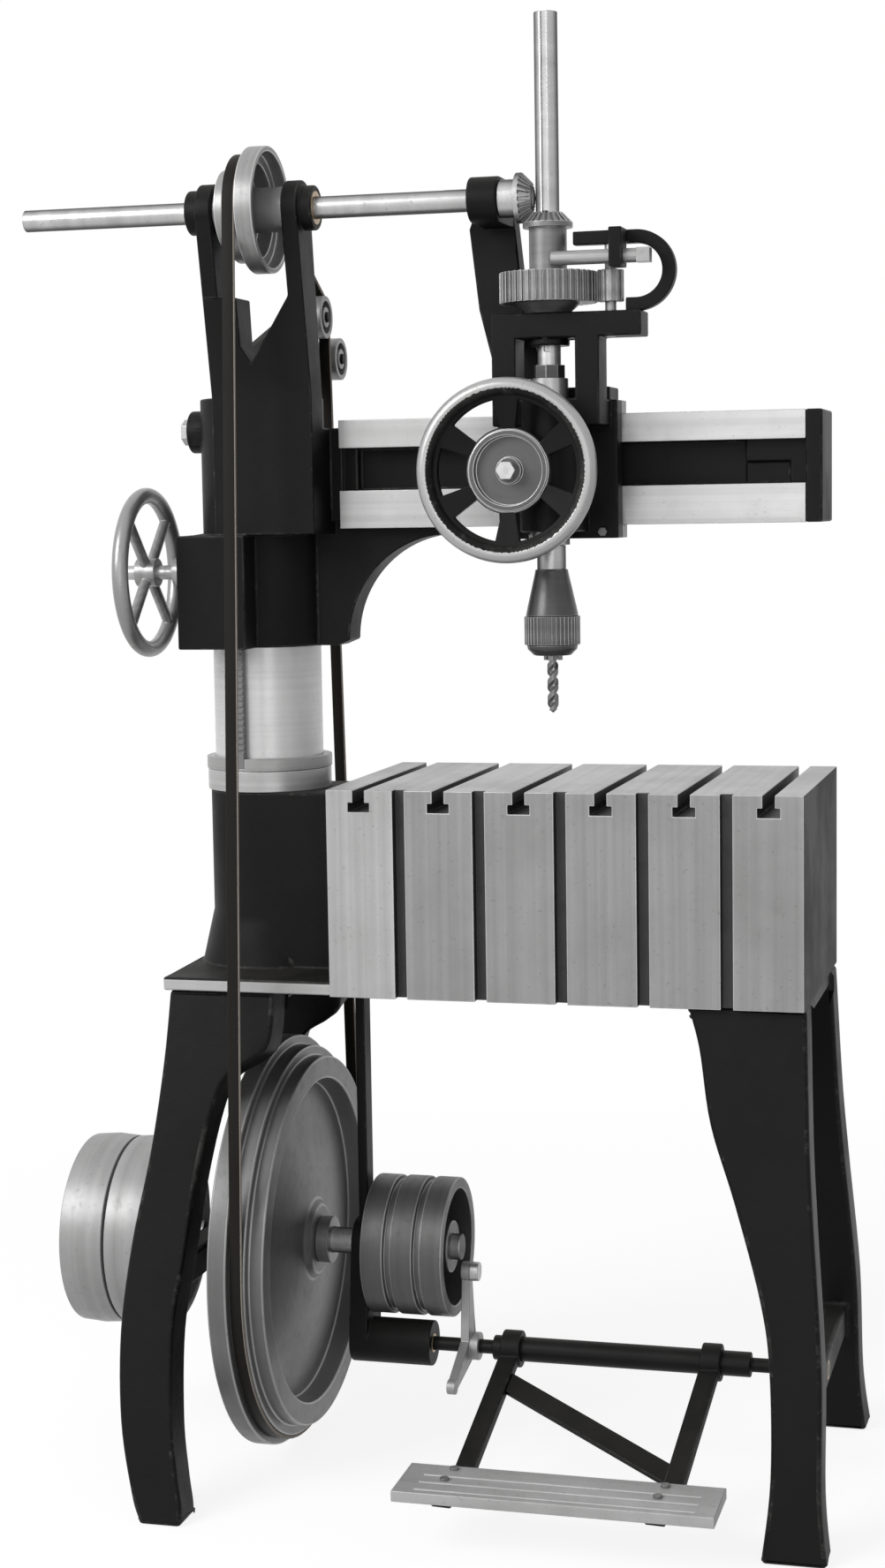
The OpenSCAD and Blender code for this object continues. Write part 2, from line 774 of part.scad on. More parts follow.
module flat_pulley(x) {
  r1 = pulley_r;
  r0 = pulley_r - pulley_crown;
  ri = r0 - pulley_rim_t;
  w0 = (pulley_w - pulley_web_t) / 2;
  w1 = (pulley_w + pulley_web_t) / 2;
  rb = drive_shaft_r + run_gap;
  along_x(x, 0, drive_h)
    rotate_extrude($fn = wheel_n)
      polygon([[rb, 0], [pulley_hub_r, 0], [pulley_hub_r, w0], [ri, w0], [ri, 0], [r0, 0],
        [r1, pulley_w / 2], [r0, pulley_w], [ri, pulley_w], [ri, w1],
        [pulley_hub_r, w1], [pulley_hub_r, pulley_w], [rb, pulley_w]]);
}

module fast_pulley() {
  color("#b0b1b0")
    flat_pulley(pulley_mid);
}

module loose_pulley() {
  color("#b0b1b0")
    flat_pulley(pulley_x0);
}

module cone_wheel() {
  r2 = wheel_mid_r;
  r3 = r2 + cone_step;
  r1 = r2 - cone_step;
  w1 = wheel_large_w;
  w2 = w1 + cone_mid_w;
  w3 = w2 + wheel_small_w;
  ri = r1 - wheel_rim_t;
  rb = drive_shaft_r + run_gap;
  lip = wheel_web_t / 2;
  color("#8d8e8e")
    along_x(wheel_x0, 0, drive_h)
      rotate_extrude($fn = wheel_n)
        polygon([[rb, 0], [wheel_hub_r, 0], [wheel_hub_r + lip, wheel_web_t], [ri - lip, wheel_web_t],
          [ri, 0], [r3, 0], [r3, w1], [r2, w1], [r2, w2], [r1, w2], [r1, w3], [ri, w3],
          [ri - lip / 2, w2 - lip], [wheel_hub_r + lip, w3 - lip], [wheel_hub_r, w3], [rb, w3]]);
}

module clutch_drum() {
  g = drum_groove_w;
  t = drum_groove_t;
  a = (drum_w - g * 2) / 3;
  rb = drive_shaft_r + run_gap;
  ri = drum_r - drum_wall;
  color("#9fa0a0")
    along_x(drum_x0, 0, drive_h)
      rotate_extrude($fn = wheel_n)
        polygon([[rb, 0], [drum_r, 0], [drum_r, a], [drum_r - t, a], [drum_r - t, a + g],
          [drum_r, a + g], [drum_r, a * 2 + g], [drum_r - t, a * 2 + g],
          [drum_r - t, a * 2 + g * 2], [drum_r, a * 2 + g * 2], [drum_r, drum_w], [ri, drum_w],
          [ri, a], [drive_shaft_r * 2, a], [drive_shaft_r * 2, drum_w - t], [rb, drum_w - t]]);
}

module set_collars() {
  h = drive_shaft_r;
  color("#8a8b8c")
    for (x = [pulley_x0 - h - free_gap, wheel_x0 - h - free_gap, wheel_x1 + free_gap])
      along_x(x, 0, drive_h)
        ring(drive_shaft_r + run_gap, drive_shaft_r * 2 - cone_hub_len, h);
}

// Treadle, drawn about its pivot: sloping struts and a level tread

strut_x0 = -tread_left + tread_w / 5;
strut_x1 = strut_x0 + strut_span;
bar_x0 = strut_x0 - strut_w;
bar_x1 = strut_x1 + strut_w * 2;
knee_y = tread_back - strut_t;
tread_slope = atan(tread_drop / knee_y);
tread_z0 = strut_t / 2 - tread_drop;

module at_pivot() {
  translate([0, treadle_y, treadle_h])
    children();
}

module rocking_bar() {
  color("#2a2b2d")
    along_x(bar_x0, treadle_y, treadle_h) {
      cylinder(r = rock_r, h = bar_x1 - bar_x0);
      translate([0, 0, hanger_x0 - bar_x0])
        cylinder(r = rock_neck_r, h = right_foot_x + rail_w / 2 - hanger_x0);
    }
}

module strut(x) {
  half = strut_t / 2;
  end_y = tread_back + tread_d * 2 / 3;
  at_pivot()
    difference() {
      union() {
        translate([x, 0, 0])
          rotate([0, 0, -strut_lean])
            side_plate(-strut_w / 2, strut_w)
              polygon([[0, half], [-knee_y, half - tread_drop], [-end_y, half - tread_drop],
                [-end_y, -half - tread_drop], [-knee_y, -half - tread_drop], [0, -half]]);
        along_x(x - strut_w / 2, 0, 0)
          cylinder(r = rock_r + half, h = strut_w);
      }
      along_x(x - strut_w, 0, 0)
        cylinder(r = rock_r + run_gap, h = strut_w * 2);
    }
}

module treadle_struts() {
  color("#1b1c1e") {
    strut(strut_x0);
    strut(strut_x1);
  }
}

// Place across of a point beside a strut, y along the level and along the slope
function strut_at(x, y) = x + y * tan(strut_lean);
function brace_x(x, y) = strut_at(x, y * cos(tread_slope));

// Flat diagonal between the struts
module treadle_brace() {
  side = strut_w / 2 / cos(strut_lean) + run_gap;
  y0 = -rock_r * 2 - strut_t;
  y1 = -knee_y / cos(tread_slope) + strut_t;
  color("#1b1c1e")
    at_pivot()
      rotate([tread_slope, 0, 0])
        translate([0, 0, -strut_t / 4])
          linear_extrude(height = strut_t / 2)
            polygon([for (c = [[strut_x0 + side, y0], [strut_x0 + side, y0 - brace_w],
              [strut_x1 - side, y1], [strut_x1 - side, y1 + brace_w]]) [brace_x(c[0], c[1]), c[1]]]);
}

module tread_plate() {
  top = tread_z0 + tread_t;
  color("#a3a39e")
    at_pivot()
      difference() {
        block(-tread_left, tread_w - tread_left, -tread_back - tread_d, -tread_back, tread_z0, top);
        for (i = [1 : 3])
          block(-tread_left + strut_w, tread_w - tread_left - strut_w,
            -tread_back - tread_d * (i * 2 + 1) / 8 - cone_hub_len / 2,
            -tread_back - tread_d * (i * 2 + 1) / 8 + cone_hub_len / 2,
            top - cone_hub_len / 2, top + overrun);
        tread_holes();
      }
}

// Foot of a tread bolt over the strut at x, f eighths from the back edge of the tread
function tread_bolt_y(f) = -tread_back - tread_d * f / 8;
function tread_bolt(x, f) = [strut_at(x, tread_bolt_y(f)), tread_bolt_y(f), tread_z0];

module tread_holes() {
  for (x = [strut_x0, strut_x1])
    for (f = [1, 4])
      translate(tread_bolt(x, f))
        translate([0, 0, -overrun])
          cylinder(d = stand_bolt_d * half_share + run_gap * 2, h = tread_t + overrun * 2);
}

module tread_bolts() {
  color("#77787a")
    at_pivot()
      for (x = [strut_x0, strut_x1])
        for (f = [1, 4])
          translate(tread_bolt(x, f)) {
            cylinder(d = stand_bolt_d * half_share, h = tread_t + cone_hub_len);
            translate([0, 0, tread_t])
              cylinder(d = stand_bolt_d, h = cone_hub_len);
          }
}

module clutch_lever() {
  r = rock_neck_r * 2;
  color("#a9a9a5")
    translate([0, treadle_y, treadle_h])
      difference() {
        union() {
          side_plate(lever_x0, lever_t)
            union() {
              circle(r = r);
              polygon([[-r, 0], [-knob_r / 2, lever_up], [knob_r / 2, lever_up], [r, 0]]);
              polygon([[0, r], [0, -r], [-lever_fwd, -lever_fwd / 3 - knob_r / 2],
                [-lever_fwd, -lever_fwd / 3 + knob_r / 2]]);
              translate([0, lever_up])
                circle(r = knob_r);
              translate([-lever_fwd, -lever_fwd / 3])
                circle(r = knob_r * 3 / 4);
            }
          along_x(lever_x0, 0, 0)
            cylinder(r = r, h = lever_t * 2);
        }
        along_x(lever_x0 - overrun, 0, 0)
          cylinder(r = rock_neck_r + run_gap, h = lever_t * 2 + overrun * 2);
        along_x(lever_x0 - overrun, 0, lever_up)
          cylinder(r = knob_r / 2 + run_gap, h = lever_t + overrun * 2);
      }
}

module lever_knob() {
  color("#c9cac8")
    along_x(lever_x0, treadle_y, treadle_h + lever_up) {
      cylinder(r = knob_r / 2, h = lever_t * 2);
      translate([0, 0, lever_t])
        cylinder(r = knob_r, h = lever_t);
    }
}

// Swing ring and rack

rack_x = col_x - rack_off;
rack_y1 = -post_r - free_gap;
rack_y0 = rack_y1 - rack_t;
elev_y = rack_y0 - free_gap - elev_pinion_r;
elev_z = table_top + elev_rise;

module swing_ring() {
  color("#3a3b3d")
    difference() {
      translate([col_x, 0, rim_z1])
        ring(post_r + run_gap, ring_d / 2, ring_h);
      block(rack_x - rack_w / 2 - run_gap, rack_x + rack_w / 2 + run_gap, -ring_d, rack_y1 + run_gap,
        rim_z1 + cone_hub_len, ring_z1 + overrun);
    }
}

module elevating_rack() {
  z0 = rim_z1 + cone_hub_len;
  n = floor((post_z1 - ring_z1) / rack_pitch) - 2;
  color("#55575a")
    difference() {
      block(rack_x - rack_w / 2, rack_x + rack_w / 2, rack_y0, rack_y1, z0, post_z1);
      for (i = [1 : n])
        block(rack_x - rack_w, rack_x + rack_w, rack_y0 - overrun, rack_y0 + rack_tooth,
          ring_z1 + rack_pitch * i, ring_z1 + rack_pitch * (i + half_share));
    }
}

// Sleeve, arm and fork

box_x0 = rack_x - elev_wheel_off / 2;
box_x1 = rack_x + rack_w / 2 + cheek_t;
box_y0 = elev_y - elev_pinion_r - sleeve_wall;
box_z0 = sleeve_z0;
box_z1 = elev_z + elev_pinion_r * 3;
fork_rear_share = 0.82;
fork_y0 = box_y0 + cheek_t / 2;
fork_y1 = -sleeve_r * fork_rear_share;
cheek_rear = [line_y + cheek_r * 3 / 4, line_z + cheek_r * 2 / 3];

// Front and back faces of the fork, which leans forward above the sleeve
function lean(z, foot, head) = foot + (head[0] - foot) * (z - sleeve_z1) / (head[1] - sleeve_z1);
function fork_front(z) = lean(z, fork_y0, [line_y - cheek_r, line_z]);
function fork_back(z) = lean(z, fork_y1, cheek_rear);

module cheek(x) {
  side_plate(x, cheek_t)
    union() {
      translate([line_y, line_z])
        circle(r = cheek_r, $fn = wheel_n);
      polygon([[fork_y0, box_z1], [0, box_z1], [0, body_z1], [fork_y1, body_z1], [fork_y1, sleeve_z1],
        cheek_rear, [line_y - cheek_r, line_z], [fork_y0, sleeve_z1]]);
    }
}

module arm_sleeve() {
  web_z = line_z - cone_large_r - idler_r;
  notch_z = web_z - fork_notch;
  notch_x0 = belt_x - cone_mid_w / 2 - cone_hub_len / 2;
  color("#1b1c1e")
    difference() {
      union() {
        translate([col_x, 0, sleeve_z0])
          cylinder(r = sleeve_r, h = sleeve_z1 - sleeve_z0, $fn = wheel_n);
        block(col_x, arm_x0, body_y0, body_y1, body_z0, body_z1);
        // Hollow-curved gusset below the arm
        front_plate(body_y0 + saddle_lap + free_gap * 2, gusset_t)
          difference() {
            translate([col_x, sleeve_z0])
              square([arm_x0 - col_x + gusset_r, body_z0 - sleeve_z0]);
            translate([arm_x0 + gusset_r, body_z0 - gusset_r - way_lip * 2])
              circle(r = gusset_r, $fn = wheel_n);
            translate([arm_x0, sleeve_z0 - overrun])
              square([gusset_r * 2, body_z0 - gusset_r - way_lip * 2 - sleeve_z0 + overrun]);
            polygon([[arm_x0 + overrun, body_z0 - gusset_r - way_lip * 2],
              [arm_x0, body_z0 - gusset_r - way_lip * 2], [arm_x0 - gusset_lean, sleeve_z0 - overrun],
              [arm_x0 + overrun, sleeve_z0 - overrun]]);
          }
        block(box_x0, box_x1, box_y0, 0, box_z0, box_z1);
        block(rack_x - rack_w, rack_x + rack_w, rack_y0 - cheek_t / 2, 0, box_z1, sleeve_z1);
        cheek(cheek_l0);
        cheek(cheek_r0);
        // Web between the cheeks
        side_plate(cheek_l0, cheek_r1 - cheek_l0)
          polygon([[fork_y0, box_z1], [0, box_z1], [0, body_z1], [fork_y1, body_z1], [fork_y1, sleeve_z1],
            [fork_back(web_z), web_z], [fork_front(web_z), web_z], [fork_y0, sleeve_z1]]);
        along_x(cheek_l0 - boss_len, line_y, line_z)
          cylinder(r = boss_r, h = boss_len + cheek_t);
        along_x(cheek_r0, line_y, line_z)
          cylinder(r = boss_r, h = boss_len + cheek_t);
        along_x(col_x - sleeve_r - boss_len, 0, body_z1)
          cylinder(r = boss_r, h = sleeve_r);
      }
      translate([col_x, 0, sleeve_z0 - overrun])
        cylinder(r = post_r + run_gap, h = bore_z1 - sleeve_z0 + overrun, $fn = wheel_n);
      // Way of the rack and room for its pinion
      block(rack_x - rack_w / 2 - free_gap, rack_x + rack_w / 2 + free_gap, rack_y0 - free_gap, 0,
        sleeve_z0 - overrun, bore_z1);
      along_x(rack_x - rack_w / 2 - free_gap, elev_y, elev_z)
        cylinder(r = elev_pinion_r + free_gap, h = rack_w + free_gap * 2);
      along_x(box_x0 - overrun, elev_y, elev_z)
        cylinder(r = elev_shaft_r + run_gap, h = rack_x + rack_w - box_x0 + overrun);
      // Sloping notch between the cheeks
      front_plate(-sleeve_r * 2, sleeve_r * 2)
        polygon([[notch_x0, notch_z + cheek_t], [belt_x, notch_z], [cheek_r0, web_z],
          [cheek_r0, web_z + overrun], [notch_x0, web_z + overrun]]);
      // Bores for the cone bushes
      along_x(cheek_l0 - boss_len - overrun, line_y, line_z)
        cylinder(r = cross_r + cone_hub_len * 2, h = cheek_r1 - cheek_l0 + boss_len * 2 + overrun * 2);
      sleeve_screw_holes();
    }
}

clamp_z = body_z1;
pinch_z = sleeve_z0 + boss_r;

module sleeve_screw_holes() {
  along_x(col_x - sleeve_r * 2, 0, clamp_z)
    cylinder(d = stand_bolt_d + run_gap * 2, h = sleeve_r * 2);
  along_x(box_x0 - overrun, -sleeve_r, pinch_z)
    cylinder(d = stand_bolt_d + run_gap * 2, h = boss_r + overrun);
}

module sleeve_screws() {
  color("#b7b8b6") {
    along_x(col_x - sleeve_r - boss_len - stand_bolt_d, 0, clamp_z) {
      cylinder(d = stand_bolt_head_d * 3 / 2, h = stand_bolt_d, $fn = 6);
      cylinder(d = stand_bolt_d, h = stand_bolt_d + boss_len + sleeve_wall / 2);
    }
    along_x(box_x0 - stand_bolt_d, -sleeve_r, pinch_z) {
      rotate([0, 0, 45])
        cylinder(d = stand_bolt_head_d, h = stand_bolt_d, $fn = 4);
      cylinder(d = stand_bolt_d, h = stand_bolt_d + boss_r - cone_hub_len);
    }
  }
}

module radial_arm() {
  mid0 = arm_z0 + way_low_h;
  mid1 = arm_z1 - way_up_h;
  color("#1b1c1e")
    difference() {
      union() {
        block(arm_x0, way_x1, body_y0, body_y1, body_z0, body_z1);
        block(way_x1, arm_x1, -way_front, body_y1, arm_z0, arm_z1);
      }
      // Recess between the ways, shallower at its right end
      block(arm_x0 + cheek_t, way_x1 - saddle_w / 2, body_y0 - overrun, body_y0 + recess_deep,
        mid0, mid1);
      block(way_x1 - saddle_w, way_x1 - cheek_t, body_y0 - overrun, body_y0 + recess_deep / 2, mid0,
        (mid0 + mid1) / 2);
      // Hollow back
      block(arm_x0 + cheek_t * 2, way_x1 - cheek_t, body_y1 - arm_d / 3, body_y1 + overrun,
        body_z0 + cheek_t, body_z1 - cheek_t);
    }
}

module upper_way() {
  color("#bdbdb8")
    block(arm_x0, way_x1, -way_front, body_y0, arm_z1 - way_up_h, arm_z1);
}

module lower_way() {
  color("#bdbdb8")
    block(arm_x0, way_x1, -way_front, body_y0, arm_z0, arm_z0 + way_low_h);
}

module fork_bushes() {
  rb = cross_r + run_gap;
  color("#a98648")
    for (x = [cheek_l0 - boss_len, cheek_r0])
      along_x(x, line_y, line_z)
        ring(rb, cross_r + cone_hub_len * 2, boss_len + cheek_t);
}

// Guide pulleys and belt

idler_a = [idler_back, idler_z];
wheel_c = [0, drive_h];
cone_c = [line_y, line_z];
belt_ra = idler_r + belt_gap;
belt_rw = wheel_mid_r + belt_gap;
belt_rc = cone_mid_r + belt_gap;
back_dir = tangent_dir(idler_a, belt_ra, wheel_c, belt_rw, -1);
front_dir = tangent_dir(cone_c, belt_rc, wheel_c, belt_rw, 1);
top_dir = tangent_dir(cone_c, belt_rc, idler_a, belt_ra, -1);
// Depth of the back strand at a height
strand_a = [idler_a[0] + (belt_ra + belt_t) * cos(back_dir), idler_a[1] + (belt_ra + belt_t) * sin(back_dir)];
function strand_y(z) = strand_a[0] - (z - strand_a[1]) * tan(back_dir);
idler_bz = idler_z - idler_step;
idler_by = strand_y(idler_bz) + (idler_r + belt_gap) / cos(back_dir);

module belt_loop(t) {
  polygon(concat(arc_points(cone_c, belt_rc + t, front_dir, top_dir, arc_n),
    arc_points(idler_a, belt_ra + t, top_dir, back_dir, arc_n / 4),
    arc_points(wheel_c, belt_rw + t, back_dir, front_dir - 360, arc_n)));
}

module drive_belt() {
  color("#3a2c20")
    side_plate(belt_x - belt_w / 2, belt_w)
      difference() {
        belt_loop(belt_t);
        belt_loop(0);
      }
}

idler_x0 = belt_x - idler_w / 2;

module idler_bracket() {
  x0 = cheek_l1;
  p = idler_pin_r * 2;
  top = sleeve_z1 + idler_step;
  color("#1b1c1e")
    union() {
      side_plate(x0, idler_plate_t)
        union() {
          polygon([[fork_y1, sleeve_z1], [-fork_y1, sleeve_z1], [idler_by, idler_bz - p],
            [idler_back, idler_z + p], [fork_back(top), top]]);
          translate(idler_a)
            circle(r = p);
          translate([idler_by, idler_bz])
            circle(r = p);
        }
      for (c = [idler_a, [idler_by, idler_bz]])
        along_x(x0, c[0], c[1])
          cylinder(r = idler_pin_r, h = idler_x0 + idler_w + cone_hub_len - x0);
    }
}

module idler(y, z) {
  rb = idler_pin_r + run_gap;
  t = cone_rim_t;
  along_x(idler_x0, y, z)
    rotate_extrude($fn = wheel_n)
      polygon([[rb, 0], [idler_r, 0], [idler_r, idler_w], [idler_r - t, idler_w], [idler_r - t, t],
        [idler_pin_r + t, t], [idler_pin_r + t, idler_w], [rb, idler_w]]);
}

module front_idler() {
  color("#8c8d8d")
    idler(idler_a[0], idler_a[1]);
}

module back_idler() {
  color("#8c8d8d")
    idler(idler_by, idler_bz);
}

module top_cone() {
  rb = cross_r + run_gap;
  r1 = cone_small_r;
  r2 = cone_mid_r;
  r3 = cone_large_r;
  t = cone_rim_t;
  x0 = cheek_l1 + free_gap;
  w0 = cone_x0 - x0;
  w1 = w0 + cone_small_w;
  w2 = w1 + cone_mid_w;
  w3 = w2 + cone_large_w;
  w4 = cheek_r0 - free_gap - x0;
  hub = cross_r * 2;
  color("#9a9b9b")
    along_x(x0, line_y, line_z)
      rotate_extrude($fn = wheel_n)
        polygon([[rb, 0], [hub, 0], [hub, w0], [r1, w0], [r1, w1], [r2, w1], [r2, w2], [r3, w2],
          [r3, w3], [r3 - t, w3], [r3 - t, w2 + t], [r2 - t, w2 + t], [r2 - t, w1 + t], [r1 - t, w1 + t],
          [r1 - t, w0 + t], [hub, w0 + t], [hub, w4], [rb, w4]]);
}

// Elevating gear

elev_x0 = col_x - elev_wheel_off - elev_shaft_r * 3;

module elevating_shaft() {
  color("#bcbdbb")
    along_x(elev_x0, elev_y, elev_z) {
      cylinder(r = elev_shaft_r, h = rack_x + rack_w - elev_x0 - cone_hub_len);
      translate([0, 0, box_x0 - elev_shaft_r - free_gap - elev_x0])
        cylinder(r = elev_shaft_r * 2, h = elev_shaft_r);
    }
}

module elevating_pinion() {
  color("#8a8b8c")
    along_x(rack_x - rack_w / 2, elev_y, elev_z)
      difference() {
        toothed(elev_pinion_r, rack_w, elev_pinion_teeth, rack_tooth);
        translate([0, 0, -overrun])
          cylinder(r = elev_shaft_r + run_gap, h = rack_w + overrun * 2);
      }
}

module elevating_wheel() {
  r = elev_wheel_r - elev_rim_r;
  hub = elev_shaft_r * 2;
  h = elev_shaft_r * 3;
  color("#a6a7a6")
    along_x(col_x - elev_wheel_off - h / 2, elev_y, elev_z)
      difference() {
        union() {
          cylinder(r = hub, h = h);
          translate([0, 0, h / 2])
            rotate_extrude($fn = wheel_n)
              translate([r, 0])
                circle(r = elev_rim_r);
          for (i = [0 : elev_spokes - 1])
            rotate([0, 0, 45 + i * 360 / elev_spokes])
              translate([hub / 2, 0, h / 2])
                rotate([0, 90, 0])
                  cylinder(r = elev_rim_r * 2 / 3, h = r - hub / 2);
        }
        translate([0, 0, -overrun])
          cylinder(r = elev_shaft_r + run_gap, h = h + overrun * 2);
      }
}

// Head

shelf_h = saddle_lap * 2;
frame_half = spindle_x - saddle_x0 - way_lip;
tower_y0 = line_y + disc_r + way_lip;
tower_y1 = tower_y0 + saddle_t;
tower_x0 = spindle_x - disc_r - upright_w * 3 / 2;
boss_x1 = spindle_x - bevel_r - bevel_face - upright_w / 2;
boss_x0 = boss_x1 - upright_w * 5 / 4;
lug_x1 = side_x + side_r * 2 + way_lip;
rack_face = feed_x + feed_pinion_r + free_gap;
quill_pitch = (feed_pinion_r + free_gap / 2) * 2 * PI / feed_pinion_teeth;

module head_casting() {
  color("#1b1c1e")
    difference() {
      union() {
        block(saddle_x0, saddle_x0 + saddle_w, saddle_y0, saddle_y1, saddle_z0, saddle_z1);
        translate([spindle_x, line_y, saddle_z0 + way_lip])
          cylinder(r = housing_r, h = saddle_z1 - saddle_z0 - way_lip, $fn = wheel_n);
        block(spindle_x - housing_r, spindle_x + housing_r, line_y, saddle_y0 + run_gap,
          saddle_z0 + way_lip, saddle_z1);
        // Shelf, uprights and cross beam in front of the arm
        block(spindle_x - frame_half, spindle_x + frame_half, line_y - frame_d / 2, saddle_y1,
          saddle_z1 - shelf_h, saddle_z1);
        for (s = [-1, 1])
          translate([spindle_x + s * (frame_half - upright_w / 2) - upright_w / 2,
            line_y - frame_d / 2, saddle_z1 - shelf_h])
            cube([upright_w, frame_d, beam_z1 - saddle_z1 + shelf_h]);
        block(spindle_x - frame_half, lug_x1, line_y - frame_d / 2, line_y + frame_d / 2,
          beam_z0, beam_z1);
        translate([spindle_x, line_y, beam_z0 - way_lip])
          cylinder(r = frame_d / 2, h = beam_h + way_lip, $fn = wheel_n);
        // Tower behind the gears, leaning left to the cross shaft bearing
        front_plate(tower_y0, saddle_t)
          polygon([[tower_x0 + upright_w, saddle_z1],
            [spindle_x - frame_half + upright_w * 2, saddle_z1],
            [tower_x0 + upright_w * 2, beam_z1], [tower_x0 + upright_w * 3 / 2, line_z],
            [boss_x1, line_z + boss_r], [boss_x0, line_z + boss_r],
            [boss_x0 - upright_w * 2 / 3, line_z - boss_r], [tower_x0, disc_z0]]);
        block(spindle_x - frame_half, spindle_x + frame_half, saddle_y0, tower_y1,
          saddle_z1, saddle_z1 + way_t);
        block(spindle_x - frame_half, spindle_x - frame_half + upright_w, line_y, tower_y1,
          beam_z0, beam_z1);
        block(boss_x0, boss_x1, line_y, tower_y1, line_z - boss_r, line_z + boss_r);
        along_x(boss_x0, line_y, line_z)
          cylinder(r = boss_r, h = boss_x1 - boss_x0);
        // Boss of the feed shaft
        along_y(feed_x, line_y - feed_wheel_front / 2, feed_z)
          cylinder(r = boss_r, h = feed_wheel_front / 2 - line_y + saddle_y1 - saddle_t / 2);
      }
      translate([spindle_x, line_y, saddle_z0 - overrun])
        cylinder(r = quill_r + run_gap, h = saddle_z1 - saddle_z0 + overrun * 2, $fn = wheel_n);
      translate([spindle_x, line_y, beam_z0 - way_lip - overrun])
        cylinder(r = bevel_hub_r + run_gap, h = beam_h + way_lip + overrun * 2, $fn = wheel_n);
      // Way of the quill rack and room for its pinion
      block(rack_face - free_gap, spindle_x, line_y - quill_rack_w / 2 - free_gap,
        line_y + quill_rack_w / 2 + free_gap, saddle_z0 - overrun, saddle_z1 + overrun);
      along_y(feed_x, line_y - quill_rack_w, feed_z)
        cylinder(r = feed_pinion_r + free_gap, h = quill_rack_w * 2);
      along_y(feed_x, line_y - feed_wheel_front, feed_z)
        cylinder(r = feed_shaft_r + run_gap, h = feed_wheel_front + quill_rack_w * 2);
      along_x(boss_x0 - overrun, line_y, line_z)
        cylinder(r = cross_r + run_gap, h = boss_x1 - boss_x0 + overrun * 2);
      translate([side_x, line_y, beam_z0 - overrun])
        cylinder(r = side_stud_r + run_gap, h = beam_h + overrun * 2);
      for (x = head_screw_x)
        along_y(x, saddle_y0 - overrun, saddle_z0 + saddle_lap / 2)
          cylinder(d = stand_bolt_d * half_share + run_gap * 2, h = saddle_t + overrun * 2);
    }
}

head_screw_x = [saddle_x0 + saddle_w / 8, saddle_x0 + saddle_w * 7 / 8];

module keeper_strips() {
  back = body_y0 + free_gap;
  deep = saddle_lap - cone_hub_len;
  hook = way_lip - cone_hub_len;
  color("#b3b3ae")
    difference() {
      for (s = [0, 1])
        translate([0, 0, s * (arm_z0 + arm_z1)])
          mirror([0, 0, s]) {
            block(saddle_x0, saddle_x0 + saddle_w, saddle_y1, back + deep,
              saddle_z0, arm_z0 - run_gap);
            block(saddle_x0, saddle_x0 + saddle_w, back, back + deep,
              arm_z0 - cone_hub_len, arm_z0 + hook);
          }
      for (x = head_screw_x)
        along_y(x, saddle_y0 - overrun, saddle_z0 + saddle_lap / 2)
          cylinder(d = stand_bolt_d * half_share + run_gap * 2, h = saddle_t * 2);
    }
}

module head_screws() {
  color("#c3c4c2")
    for (x = head_screw_x)
      along_y(x, saddle_y0 - cone_rim_t, saddle_z0 + saddle_lap / 2) {
        cylinder(d = stand_bolt_d, h = cone_rim_t, $fn = 6);
        cylinder(d = stand_bolt_d * half_share, h = cone_rim_t + saddle_t + saddle_lap);
      }
}

loop_r1 = side_r * 3;
loop_r0 = loop_r1 - way_t;
loop_x = side_x + side_r * 2;
loop_z = beam_z1 + loop_r1;
loop_t = way_t;
rod_y = line_y - bevel_hub_r - way_lip;
rod_z = disc_z1 + side_stud_r * 2;
rod_r = side_stud_r + cone_hub_len / 2;
loop_lug_x = side_x + side_stud_r;

module loop_bracket() {
  color("#1b1c1e")
    difference() {
      union() {
        front_plate(line_y - loop_t / 2, loop_t)
          union() {
            difference() {
              translate([loop_x, loop_z])
                circle(r = loop_r1, $fn = wheel_n);
              translate([loop_x, loop_z])
                circle(r = loop_r0, $fn = wheel_n);
              translate([loop_x - loop_r1 * 2, loop_z - loop_r1 * 2])
                square([loop_r1 * 2, loop_r1 * 4]);
            }
            translate([spindle_x + bevel_hub_r + way_lip, loop_z + loop_r0])
              square([loop_x - spindle_x - bevel_hub_r - way_lip, loop_r1 - loop_r0]);
            translate([side_x + side_r + cone_hub_len, beam_z1])
              square([loop_x - side_x - side_r - cone_hub_len, loop_r1 - loop_r0]);
          }
        block(loop_lug_x, loop_lug_x + way_t, rod_y - rod_r * 2, line_y, loop_z + loop_r0,
          loop_z + loop_r1);
        block(loop_lug_x, loop_lug_x + way_t, rod_y - rod_r * 2, rod_y + rod_r * 2,
          rod_z - rod_r * 3 / 2, loop_z + loop_r1);
      }
      translate([side_x, line_y, loop_z])
        cylinder(r = side_stud_r + run_gap, h = loop_r1 * 2);
      along_x(loop_lug_x - overrun, rod_y, rod_z)
        cylinder(r = rod_r + run_gap, h = way_t + overrun * 2);
    }
}

module stop_rod() {
  x0 = spindle_x + bevel_hub_r / 2;
  x1 = loop_lug_x + way_t * 2;
  color("#c3c4c2")
    along_x(x0, rod_y, rod_z) {
      cylinder(r = rod_r, h = x1 - x0);
      translate([-rod_r, -rod_r, x1 - x0])
        cube([rod_r * 2, rod_r * 2, way_t]);
    }
}

module cross_shaft() {
  x0 = spindle_x - cross_len;
  x1 = spindle_x - bevel_r;
  color("#c3c4c2")
    along_x(x0, line_y, line_z)
      difference() {
        cylinder(r = cross_r, h = x1 - x0);
        translate([-cross_r - overrun, -keyway_w / 2, -overrun])
          cube([keyway_t + overrun, keyway_w, boss_x0 - x0 - upright_w]);
      }
}

